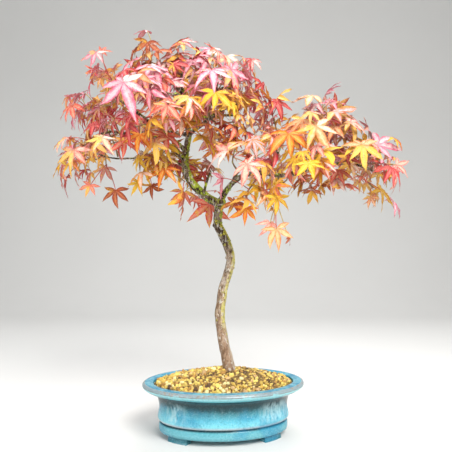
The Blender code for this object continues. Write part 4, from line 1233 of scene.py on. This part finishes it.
def glaze_material():
    """Turquoise glaze by its place on the profile: blue on the rim, worn pale at edges, dark in the neck,
    partly the glaze and partly painted shade under the lip.

    Heights and insets are millimetres, as in the pot's profile.
    """
    n = Nodes("glaze_looks", 0.2, Coat_Weight=0.12, Coat_Roughness=0.08, Specular_IOR_Level=0.4)
    profile = n.attribute("profile", "Vector")
    inset = n.axis(profile, "X")
    height = n.axis(profile, "Y")
    turn = n.axis(profile, "Z")
    streak = n.noise(70.0, 6.0, n.place((1, 1, 0.2)), 0.65)
    cloud = n.noise(26.0, 4.0)
    speckle = n.noise(900.0, 4.0, rough=0.7)
    flake = n.noise(420.0, 5.0, rough=0.7)
    drift = (streak - 0.5) * 12.0
    belly = n.span(height, 24.0, 30.0) * n.span(height, 57.0, 50.0)
    # Tones by height, with painted shade in the neck under the lip
    n.color = n.ramp((height + drift * belly) / GLAZE_TOP, GLAZE_AND_SHADE_TONES)
    # lit is the body below the neck's painted shade, where streaks and clouds show
    lit = n.span(height, 50.0, 40.0)
    n.paint(n.span(streak, 0.56, 0.74) * (lit * 0.4), GLAZE_STREAK)
    n.paint(n.span(cloud, 0.5, 0.66) * (lit * 0.6), GLAZE_CLOUD)
    left, right = (n.span(abs(turn - middle), none, full) for middle, none, full in GLAZE_RUNS)
    runs = n.noise(170.0, 5.0, n.place((1, 1, 0.18)), 0.7)
    thin = (left + right) * n.span(runs, 0.44, 0.58)
    thin = thin * (belly * n.span(height, 54.0, 44.0))
    n.paint(thin * 0.6, GLAZE_THIN)
    upper = n.span(height, 65.2, 66.6)
    pool = n.mix(n.span(n.noise(95.0, 5.0, rough=0.65), 0.42, 0.6), *RIM_POOLS)
    n.paint(upper * n.span(inset, 2.8, 3.8), pool)
    wear = n.noise(110.0, 5.0, rough=0.65)
    band = upper * n.span(inset, 3.8, 2.6) * n.span(wear, 0.28, 0.44)
    n.paint(band * 0.85, RIM_WORN)
    rust = band * n.span(n.noise(230.0, 5.0), 0.54, 0.62)
    n.paint(rust * 0.55, RIM_RUST)
    line = n.span(abs(height - RIM_LINE_AT), 0.7, 0.25) * n.span(inset, 3.0, 2.0) * n.span(wear, 0.36, 0.5)
    n.paint(line * 0.75, RIM_LINE)
    n.paint(n.span(flake, 0.55, 0.68, 0.0, 0.45), GLAZE_FLAKE)
    n.paint(n.span(speckle, 0.54, 0.66, 0.0, 0.45), GLAZE_SPECK)
    pale = n.span(speckle, 0.46, 0.36, 0.0, 0.35) * n.math("MAXIMUM", lit, 0.3)
    n.paint(pale, GLAZE_PALE)
    rough = n.span(speckle, 0.35, 0.75, 0.12, 0.32)
    return n.finish(Base_Color=n.color, Roughness=rough, Normal=n.bump(cloud + speckle * 0.15, 0.35, 0.8))


def stage_material():
    """Plain pale paint, uneven by a trace."""
    n = Nodes("stage_looks", 0.9)
    shade = n.noise(3.0, 2.0)
    return n.finish(Base_Color=n.mix(n.span(shade, 0.2, 0.8, 0.0, 0.05), STAGE_COLOR, STAGE_GREY))


# Pieces

def smooth_route(points, steps):
    """Catmull-Rom curve through a route's points."""
    ends = [points[0] * 2 - points[1]] + points + [points[-1] * 2 - points[-2]]
    curve = [points[0]]
    for k in range(1, len(ends) - 2):
        a, b, c, d = ends[k - 1:k + 3]
        for step in range(1, steps + 1):
            t = step / steps
            curve.append(0.5 * (2 * b + (c - a) * t + (2 * a - 5 * b + 4 * c - d) * t * t
                                + (3 * b - a - 3 * c + d) * t ** 3))
    return curve


def add_piece(name, verts, faces, materials, picks=None, points=None):
    """Mesh object in the row frame. picks is each face's material, points holds per-point values."""
    mesh = bpy.data.meshes.new(name)
    mesh.from_pydata([tuple(vert) for vert in verts], [], faces)
    for material in materials:
        mesh.materials.append(material)
    if picks is not None:
        mesh.polygons.foreach_set("material_index", picks)
    for key, values in (points or {}).items():
        values = np.asarray(values, dtype=np.float32)
        kind, field = POINT_VALUES[values.shape[1]]
        layer = mesh.attributes.new(key, kind, "POINT")
        layer.data.foreach_set(field, values.ravel())
    mesh.shade_smooth()
    made = bpy.data.objects.new(name, mesh)
    bpy.context.scene.collection.objects.link(made)
    return made


def show(piece, slot, *nodes):
    """Puts a piece on the one body, in place of the solids that it stands for."""
    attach(piece, "root")
    if nodes:
        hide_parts(*nodes)
    return piece


def pot_point(inset, height, angle):
    """Place on the pot: how far in from the rim's outline, how high, and at which angle round it."""
    x = (POT_LENGTH / 2 - inset) * math.cos(angle)
    y = (POT_DEPTH / 2 - inset) * math.sin(angle)
    return mm(x, y, height) + POT_MIDDLE


def pot_body():
    """Turned body of the pot through its smoothed profile, with each point's inset, height and angle."""
    profile = [Vector((inset, 0, height)) for inset, height in POT_OUTSIDE + POT_INSIDE]
    rings, values = [], []
    for spot in smooth_route(profile, POT_ROW_STEPS):
        angles = [math.tau * k / POT_FINE for k in range(POT_FINE)]
        rings.append([pot_point(spot.x, spot.z, angle) for angle in angles])
        values += [(spot.x, spot.z, angle) for angle in angles]
    return *skin(rings), values


def pot_foot(middle):
    """One foot of the pot at an angle round it, flared a little where it stands.

    The glaze's heights are paired the other way round, which keeps the outer side dark.
    """
    outer, inner = FOOT_INSETS
    top = POT_OUTSIDE[0][1] + FOOT_SUNK
    corners = ((inner, FOOT_FLARE), (inner + FOOT_FLARE, 0), (outer - FOOT_FLARE, 0),
               (outer, FOOT_FLARE), (outer, top), (inner, top))
    rings, values = [], []
    for step in range(FOOT_FINE + 1):
        share = step / FOOT_FINE
        angle = math.radians(middle + FOOT_HALF_SPAN * (2 * share - 1))
        rings.append([pot_point(inset, height, angle) for inset, height in reversed(corners)])
        values += [(FOOT_GLAZE, height, 0.0) for _, height in corners]
    return *skin(rings), values


def make_pot_looks(look):
    """Turned and glazed body of the pot with its feet, fine enough for clean highlights."""
    verts, faces, values = pot_body()
    for angle in FOOT_ANGLES:
        foot_verts, foot_faces, foot_values = pot_foot(angle)
        join(verts, faces, foot_verts, foot_faces)
        values += foot_values
    pot = add_piece("glazed_pot", verts, faces, [look], points={"profile": values})
    pot.data.set_sharp_from_angle(angle=math.radians(POT_SHARP))
    return show(pot, "turquoise_glaze", "pot")


def granule_shape(rng, detail):
    """Broken stone of radius about 1: a lumpy ball with flat facets."""
    verts, faces = detail
    stretch = Vector([rng.uniform(*limits) for limits in STONE_STRETCH])
    shift = Vector([rng.uniform(0, LUMP_SHIFTS) for _ in range(3)])
    turn = Matrix.Rotation(rng.uniform(0, math.tau), 3, any_way(rng))
    cuts = [(any_way(rng).normalized(), rng.uniform(*FACET_REACH)) for _ in range(FACETS)]
    placed = []
    for vert in verts:
        shaped = vert * (1 + STONE_LUMPS * noise.noise(vert * LUMPS_A_STONE + shift))
        for aim, reach in cuts:
            past = shaped.dot(aim) - reach
            if past > 0:
                shaped = shaped - aim * past
        placed.append(turn @ (shaped * stretch))
    return placed, faces


def ball(levels):
    """Points and faces of a unit ball made from an icosahedron."""
    made = bmesh.new()
    bmesh.ops.create_icosphere(made, subdivisions=levels, radius=1)
    verts = [vert.co.copy() for vert in made.verts]
    faces = [tuple(vert.index for vert in face.verts) for face in made.faces]
    made.free()
    return verts, faces


def ground_height(x, y):
    """Height of the mound at a place in the pot, from the trunk down to the pot's wall."""
    inset = POT_INSIDE[0][0]
    across = math.hypot(x / (POT_LENGTH / 2 - inset), y / (POT_DEPTH / 2 - inset))
    return blend(SOIL_MOUND, SOIL_EDGE, min(across, 1) ** SOIL_FALL)


def granule_fits(x, y, radius, taken):
    """Whether a granule lies clear of the trunk and of the others in its layer."""
    stem = tree_place(mm(*TRUNK_ROUTE[1])) - POT_MIDDLE
    if math.hypot(x - stem.x / MM, y - stem.y / MM) < TRUNK_RADII[0] + radius * NEAR_TRUNK:
        return False
    return not any((x - a) ** 2 + (y - b) ** 2 < ((radius + r) * NEAR_OTHERS) ** 2 for a, b, r in taken)


def make_granules(look):
    """Loose clay granules in layers on the mound, packed as they would settle."""
    rng = random.Random(GRANULE_SEED)
    verts, faces, tints = [], [], []
    half_x, half_y = (side / 2 - POT_INSIDE[0][0] - WALL_AIR for side in (POT_LENGTH, POT_DEPTH))
    for wanted, lift, radii, levels in GRANULE_LAYERS:
        taken = []
        detail = ball(levels)
        for _ in range(wanted * TRIES_A_GRANULE):
            if len(taken) >= wanted:
                break
            radius = rng.uniform(*radii)
            x, y = rng.uniform(-1, 1), rng.uniform(-1, 1)
            if math.hypot(x, y) > 1 - radius / half_y * NEAR_WALL:
                continue
            x, y = x * half_x, y * half_y
            outside = math.hypot(x / half_x, y / half_y) > BARE_FROM
            if outside and BARE_LOW < math.atan2(y, x) < BARE_HIGH:
                continue
            if not granule_fits(x, y, radius, taken):
                continue
            taken.append((x, y, radius))
            height = ground_height(x, y) + lift + rng.uniform(*SETTLING)
            middle = mm(x, y, height) + POT_MIDDLE
            stone, stone_faces = granule_shape(rng, detail)
            join(verts, faces, [middle + point * radius * MM for point in stone], stone_faces)
            tone = rng.choices(GRANULE_TONES, GRANULE_SHARES)[0]
            shade = rng.uniform(*GRANULE_SHADES)
            tints += [(*(part * shade for part in tone), 1)] * len(stone)
    granules = add_piece("clay_granules", verts, faces, [look], points={"tint": tints})
    granules.data.set_sharp_from_angle(angle=math.radians(GRANULE_SHARP))
    return show(granules, "soil_granules")


def leaf_template(rng):
    """Fine flat leaf of length 1: (right, ahead) points, faces, and each point's place in its lobe."""
    basal = rng.random() < BASAL_SHARE
    last = len(FINE_ANGLES) if basal else len(FINE_ANGLES) - 1
    first = 0 if basal else 1
    angles = [angle + rng.uniform(-LOBE_TURN, LOBE_TURN) for angle in FINE_ANGLES[first:last]]
    lengths = [length * rng.uniform(*LOBE_STRETCH) for length in FINE_LENGTHS[first:last]]
    cuts = [(a + b) / 2 for a, b in zip(angles, angles[1:])]
    cuts = [angles[0] + BASE_CUT] + cuts + [angles[-1] - BASE_CUT]
    reaches = [BASE_REACH] + list(FINE_SINUSES[first:last - 1]) + [BASE_REACH]
    points, faces, lobes = [], [], []
    for number, (angle, length) in enumerate(zip(angles, lengths)):
        sides = []
        for side, cut in ((1, number), (-1, number + 1)):
            away = math.radians(abs(cuts[cut] - angle))
            foot = (reaches[cut] * math.cos(away), reaches[cut] * math.sin(away))
            sides.append((side, foot, lobe_margin(foot, length, rng)))
        start = len(points)
        for row in range(ROWS_IN + ROWS_OUT + 1):
            edges = []
            for side, foot, margin in sides:
                if row <= ROWS_IN:
                    share = row / ROWS_IN
                    edges.append((foot[0] * share, side * foot[1] * share))
                else:
                    along, across = margin[row - ROWS_IN - 1]
                    edges.append((along, side * across))
            middle = (edges[0][0] + edges[1][0]) / 2
            for column in COLUMNS:
                edge = edges[0] if column > 0 else edges[1]
                along = middle + (edge[0] - middle) * abs(column)
                across = edge[1] * abs(column)
                points.append(lobe_point(angle, along, across))
                lobes.append((column, along / length, abs(across)))
        width = len(COLUMNS)
        for row in range(ROWS_IN + ROWS_OUT):
            for column in range(width - 1):
                a = start + row * width + column
                faces.append((a, a + width, a + width + 1, a + 1))
    return merge_points(points, faces, lobes)


def lobe_margin(foot, length, rng):
    """Edge of a lobe from its sinus to its tip: swelling, then drawn out to a point, with small teeth."""
    rows = []
    swell = rng.uniform(*SWELLS)
    for row in range(1, ROWS_OUT + 1):
        s = row / ROWS_OUT
        bulge = LOBE_SWELL * swell * s * (1 - s) ** 2 + LOBE_TAIL * s * s * (1 - s)
        across = foot[1] * (1 - s) ** 3 + 3 * bulge
        along = foot[0] + (length - foot[0]) * s
        if row % 2 and row < ROWS_OUT - 1:
            across += TOOTH * (1 - s)
            along += TOOTH
        rows.append((along, across * length ** 0.5))
    return rows


def merge_points(points, faces, lobes):
    """Joins points that two lobes share, so that the blade shades as one sheet."""
    places = {}
    renamed, kept, kept_lobes, clean = [], [], [], []
    for point, lobe in zip(points, lobes):
        key = tuple(round(part, MERGE_DIGITS) for part in point)
        if key not in places:
            places[key] = len(kept)
            kept.append(point)
            kept_lobes.append(lobe)
        renamed.append(places[key])
    for face in faces:
        corners = []
        for k in face:
            if renamed[k] not in corners:
                corners.append(renamed[k])
        if len(corners) > 2:
            clean.append(tuple(corners))
    return np.array(kept), clean, np.array(kept_lobes)


def fine_blade(leaf, template, rng):
    """Points of a fine leaf in its place: folded along its ribs, drooping, and a little twisted."""
    flat, faces, lobes = template
    x, y = flat[:, 0].copy(), flat[:, 1].copy()
    reach = np.hypot(x, y)
    angle = np.arctan2(x, y) * leaf.spread
    sway = [rng.uniform(-LOBE_SWAY, LOBE_SWAY) for _ in range(SWAY_WAVES)]
    swing = sum(amount * np.sin(angle * (k + 1) + k) for k, amount in enumerate(sway))
    angle = angle + swing * reach ** 2
    drawn = reach * (1 - DROOP_PULL * leaf.droop ** 2 * reach)
    x, y = drawn * np.sin(angle), drawn * np.cos(angle)
    height = -leaf.droop * reach ** DROOP_POWER
    height += KEEL * lobes[:, 2]
    lift = sum(rng.uniform(-1, 1) * np.sin(angle * (k + LIFT_FIRST) + LIFT_SHIFT * k)
               for k in range(LIFT_WAVES))
    height += LOBE_LIFT * lift * reach ** 2
    ripple = rng.uniform(0, RIPPLE_SHIFTS)
    waves = np.sin(reach * RIPPLE_RATE + lobes[:, 0] * RIPPLE_SLANT + ripple)
    height += RIPPLE * waves * np.abs(lobes[:, 0]) * reach
    right = leaf.along.cross(leaf.face).normalized()
    axes = np.array([right, leaf.along, leaf.face])
    placed = np.stack((x, y, height), axis=1) @ axes * leaf.size * MM + np.array(leaf.foot)
    return placed, faces, lobes


def stalk_route(leaf):
    """Smooth line of a petiole from the foot of its blade to its root."""
    bend = stalk_bend(leaf)
    points = []
    for step in range(STALK_STEPS + 1):
        t = step / STALK_STEPS
        points.append(blend(blend(leaf.foot, bend, t), blend(bend, leaf.root, t), t))
    return points


def painted_inner_shade(leaf):
    """How bright a leaf is for its depth: painted shade darkens the ones inside the crown."""
    away = leaf.foot / MM - crown_middle(leaf.foot) - Vector((0, 0, INNER_HEIGHT))
    reach = math.hypot(*(part / most for part, most in zip(away, INNER_REACH)))
    return blend(INNER_PAINTED_SHADE, 1, min(reach, 1))


def leaf_tones(leaf, tone, rng):
    """Colours of a leaf at its edge and along its middle, how golden it is, and how much painted highlight
    it takes.
    """
    place = leaf.foot / MM
    middle = crown_middle(leaf.foot)
    outside = math.hypot((place.x - middle.x) / WARM_REACH[0], place.y / WARM_REACH[1])
    height = (place.z - WARM_FROM) / WARM_RISE
    chance = rng.uniform(-WARM_CHANCE, WARM_CHANCE)
    warmth = min(max(WARM_BY_HEIGHT * height + WARM_BY_REACH * outside + chance, 0), 1)
    near = rng.choice(TONES_BY_WARMTH[int(warmth * WARM_ROWS)])
    rim, heart = LEAF_LOOKS[tone if rng.random() < OWN_TONE else near]
    if rng.random() < HEART_CHANGES:
        heart = LEAF_LOOKS[near][1]
    return rim, heart, rng.choice(GOLDEN_SHARES), rng.choice(PAINTED_HIGHLIGHT_SHARES)


def leaf_colors(spray, number, leaf, angles, rng):
    """Colours at each point of a leaf: its edge's with the golden share, its middle's with the painted
    highlight share.
    """
    rim, heart, golden, painted_highlight = leaf_tones(leaf, spray.tone, rng)
    shade = rng.uniform(*LEAF_SHADES)
    if number < len(spray.blades):
        blade = spray.blades[number]
        rim, heart = LEAF_LOOKS[blade.tone]
        golden, painted_highlight = blade.golden, blade.painted_highlight
    else:
        # Painted shade on the leaves deep inside the crown
        shade *= painted_inner_shade(leaf)
    side = rng.uniform(-1, 1)
    swing = np.sin(angles * UNEVEN_RATE + side * UNEVEN_SHIFT) * UNEVEN
    tints, blushes = (np.ones((len(angles), 4)) * (*(min(part * shade, 1) for part in color), 0)
                      for color in (rim, heart))
    tints[:, 3] = np.clip(golden + swing * (golden > 0), 0, 1)
    # The blush's alpha carries the painted highlight share, swinging the other way from the gold
    blushes[:, 3] = np.clip(painted_highlight - swing * (painted_highlight > 0), 0, 1)
    return tints.tolist(), blushes.tolist()


def make_spray_looks(spray, twig, leaves, templates, looks):
    """One piece for a spray: its twig, its petioles and its fine leaves."""
    rng = random.Random(f"{SEED} looks {spray.name}")
    verts, faces, picks, tints, blushes, lobes = [], [], [], [], [], []

    def put(points, polygons, pick, tint, blush, places):
        join(verts, faces, points, polygons)
        picks.extend([pick] * len(polygons))
        tints.extend(tint)
        blushes.extend(blush)
        lobes.extend(places)

    stem = smooth_route(twig, TWIG_FINE_STEPS)
    points, polygons = tube(stem, [radius * TWIG_SLIM for radius in TWIG_RADII], TWIG_FINE_SIDES)
    plain = [TWIG_LOOK] * len(points)
    put(points, polygons, STALK_PICK, plain, plain, [NO_LOBE] * len(points))
    for number, leaf in enumerate(leaves):
        template = rng.choice(templates)
        angles = np.arctan2(template[0][:, 0], template[0][:, 1])
        tint, blush = leaf_colors(spray, number, leaf, angles, rng)
        points, polygons, places = fine_blade(leaf, template, rng)
        put([Vector(point) for point in points], polygons, BLADE_PICK, tint, blush, places.tolist())
        points, polygons = tube(stalk_route(leaf), STALK_RADII, STALK_SIDES)
        plain = [rng.choice(STALK_LOOKS)] * len(points)
        put(points, polygons, STALK_PICK, plain, plain, [NO_LOBE] * len(points))
    placed = [tree_place(point) for point in verts]
    values = {"tint": tints, "blush": blushes, "lobe": lobes}
    piece = add_piece(f"leafy_{spray.name}", placed, faces, looks, picks, values)
    return show(piece, f"leaf_{spray.tone}", f"spray_{spray.name}")


def in_gap(leaf):
    """Whether a leaf's foot or tip lies where the photograph shows bare air."""
    for place in (leaf.foot, leaf.foot + leaf.along * leaf.size * MM):
        away = CAMERA_AWAY + place.y / MM
        right = PHOTO_PIXELS / 2 + (place.x / MM - CAMERA_RIGHT) * FOCAL_PIXELS / away
        down = HORIZON_PIXEL - (place.z / MM - CAMERA_HEIGHT) * FOCAL_PIXELS / away
        if any(left < right < end and top < down < bottom for left, top, end, bottom in GAPS):
            return True
    return False


def in_crown(leaf):
    """Whether a leaf stays inside the box of the solids."""
    low, high = cad_box
    for vert in blade_mesh(leaf)[0]:
        place = tree_place(vert)
        if any(not least <= value <= most for least, value, most in zip(low, place, high)):
            return False
    return True


def extra_leaves(twigs, leaves, solids):
    """More leaves on every twig, finer than the solids show, each in clear air."""
    for turn in range(EXTRA_ROUNDS):
        for spray in SPRAYS:
            if turn >= LOW_ROUNDS and spray.tip[2] < LOW_SPRAYS:
                continue
            rng = random.Random(f"{SEED} extra {turn} {spray.name}")
            leaf = rule_leaf(turn + 2, twigs[spray.name], solids, spray.name, rng, EXTRA_SIZES)
            if leaf and in_crown(leaf) and not in_gap(leaf):
                leaves[spray.name].append(leaf)
                accept(leaf, spray.name, solids)


def make_wood(tubes, look):
    """Trunk, limbs and branches in one grown skin, with knots and fissures."""
    verts, faces = [], []
    for points, radii, _ in tubes:
        join(verts, faces, *tube(smooth_route(points, WOOD_STEPS), radii, WOOD_SIDES))
    knot_verts, knot_faces = ball(KNOT_FINE)
    for x, y, z, radius in KNOTS:
        join(verts, faces, [mm(x, y, z) + vert * radius * MM for vert in knot_verts], knot_faces)
    wood = add_piece("wood", [tree_place(vert) for vert in verts], faces, [look])
    weld = wood.modifiers.new("weld", "REMESH")
    weld.mode = "VOXEL"
    weld.voxel_size = WOOD_VOXEL * MM
    soften = wood.modifiers.new("soften", "SMOOTH")
    soften.factor = WOOD_SOFTEN
    soften.iterations = WOOD_SOFTENINGS
    graph = bpy.context.evaluated_depsgraph_get()
    mesh = bpy.data.meshes.new_from_object(wood.evaluated_get(graph))
    wood.modifiers.clear()
    wood.data = mesh
    count = len(mesh.vertices)
    places = np.empty(count * 3, dtype=np.float32)
    normals = np.empty(count * 3, dtype=np.float32)
    mesh.vertices.foreach_get("co", places)
    mesh.vertex_normals.foreach_get("vector", normals)
    places, normals = places.reshape(-1, 3), normals.reshape(-1, 3)
    for k in range(count):
        point = Vector(places[k])
        rib = Vector((point.x, point.y, point.z * RIB_STRETCH))
        rise = noise.noise(rib / (RIB_WIDTH * MM)) * RIB_RISE
        rise += noise.noise(point / (SWELL_WIDTH * MM)) * SWELL_RISE
        places[k] += normals[k] * rise * MM
    mesh.vertices.foreach_set("co", places.ravel())
    mesh.materials.clear()
    mesh.materials.append(look)
    mesh.shade_smooth()
    return show(wood, "bark", "trunk")


def make_moss(tubes, look):
    """Tufts of moss on the upper sides of the fork, the limbs and the branches."""
    rng = random.Random(MOSS_SEED)
    detail = ball(MOSS_FINE)
    verts, faces = [], []
    mossy = tubes[:STUB] + tubes[STUB + 1:]
    runs = MOSS_RUNS + (MOSS_ON_BRANCH,) * (len(mossy) - len(MOSS_RUNS))
    for (points, radii, _), (low, high, wanted) in zip(mossy, runs):
        for _ in range(wanted):
            share = rng.uniform(low, high)
            middle, aim = on_route(points, share)
            if noise.noise(middle / (MOSS_PATCH * MM)) < MOSS_FROM:
                continue
            out = square_to(Vector([rng.uniform(*limits) for limits in MOSS_WAYS]), aim)
            radius = radius_at(radii, share) * MM
            size = rng.uniform(*MOSS_SIZES) * MM
            place = middle + out * (radius - size * MOSS_SUNK)
            tuft, tuft_faces = granule_shape(rng, detail)
            join(verts, faces, [tree_place(place + point * size) for point in tuft], tuft_faces)
    moss = add_piece("moss", verts, faces, [look])
    return show(moss, "bark")


# Stage, camera and lights

def make_stage():
    """Pale floor that runs up into a plain backdrop."""
    verts, faces = [], []
    profile = [(-STAGE_NEAR, 0), (STAGE_BACK, 0)]
    for step in range(1, STAGE_STEPS + 1):
        angle = math.pi / 2 * step / STAGE_STEPS
        profile.append((STAGE_BACK + STAGE_CURVE * math.sin(angle), STAGE_CURVE * (1 - math.cos(angle))))
    profile.append((STAGE_BACK + STAGE_CURVE, STAGE_HIGH))
    for y, z in profile:
        verts += [tree_place(Vector((x * STAGE_WIDE, y, z))) for x in (-1, 1)]
    for k in range(len(profile) - 1):
        faces.append((2 * k, 2 * k + 1, 2 * k + 3, 2 * k + 2))
    stage = add_piece("stage", verts, faces, [stage_material()])


def make_lights():
    """Large soft lights from the front left and right and above, and an even sky."""
    for name, place, width, watts, color in LIGHTS:
        light = bpy.data.lights.new(name, "AREA")
        light.shape = "DISK"
        light.size = width
        light.energy = watts
        light.color = color
        lamp = bpy.data.objects.new(name, light)
        lamp.location = tree_place(Vector(place))
        aim = tree_place(Vector(LIGHTS_AIM)) - lamp.location
        lamp.rotation_euler = aim.to_track_quat("-Z", "Y").to_euler()
        bpy.context.scene.collection.objects.link(lamp)
    world = bpy.data.worlds.new("sky")
    world.use_nodes = True
    sky = world.node_tree.nodes["Background"]
    sky.inputs["Color"].default_value = (*SKY_COLOR, 1)
    sky.inputs["Strength"].default_value = SKY_STRENGTH
    bpy.context.scene.world = world


def make_camera():
    """Level camera as in the photograph, with its lens shifted up instead of tilted."""
    camera = bpy.data.cameras.new("camera")
    camera.sensor_width = SENSOR
    camera.lens = SENSOR * FOCAL_PIXELS / PHOTO_PIXELS
    camera.shift_y = (HORIZON_PIXEL - PHOTO_PIXELS / 2) / PHOTO_PIXELS
    camera.clip_start = NEAREST_SEEN
    eye = bpy.data.objects.new("camera", camera)
    eye.location = tree_place(mm(CAMERA_RIGHT, -CAMERA_AWAY, CAMERA_HEIGHT))
    eye.rotation_euler = (math.pi / 2, 0, TREE_TURN)
    bpy.context.scene.collection.objects.link(eye)
    bpy.context.scene.camera = eye


def dress_frame():
    """Better materials on the solids that stay: the soil's bed and the drain screens."""
    bed, screen = bed_material(), screen_material()
    for node, look in (("soil", bed), ("drain_screen_left", screen), ("drain_screen_right", screen)):
        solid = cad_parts[node]
        solid.data.materials.clear()
        solid.data.materials.append(look)


def main():
    bpy.context.scene.view_settings.view_transform = "Standard"
    make_camera()
    make_lights()
    make_stage()
    dress_frame()
    make_pot_looks(glaze_material())
    make_granules(granule_material())
    tubes = wood_tubes()
    make_wood(tubes, bark_material())
    make_moss(tubes, moss_material())
    twigs, leaves, solids = grow_sprays(tubes)
    extra_leaves(twigs, leaves, solids)
    rng = random.Random(SEED)
    templates = [leaf_template(rng) for _ in range(TEMPLATES)]
    looks = [leaf_material(), twig_material()]
    for spray in SPRAYS:
        make_spray_looks(spray, twigs[spray.name], leaves[spray.name], templates, looks)


main()
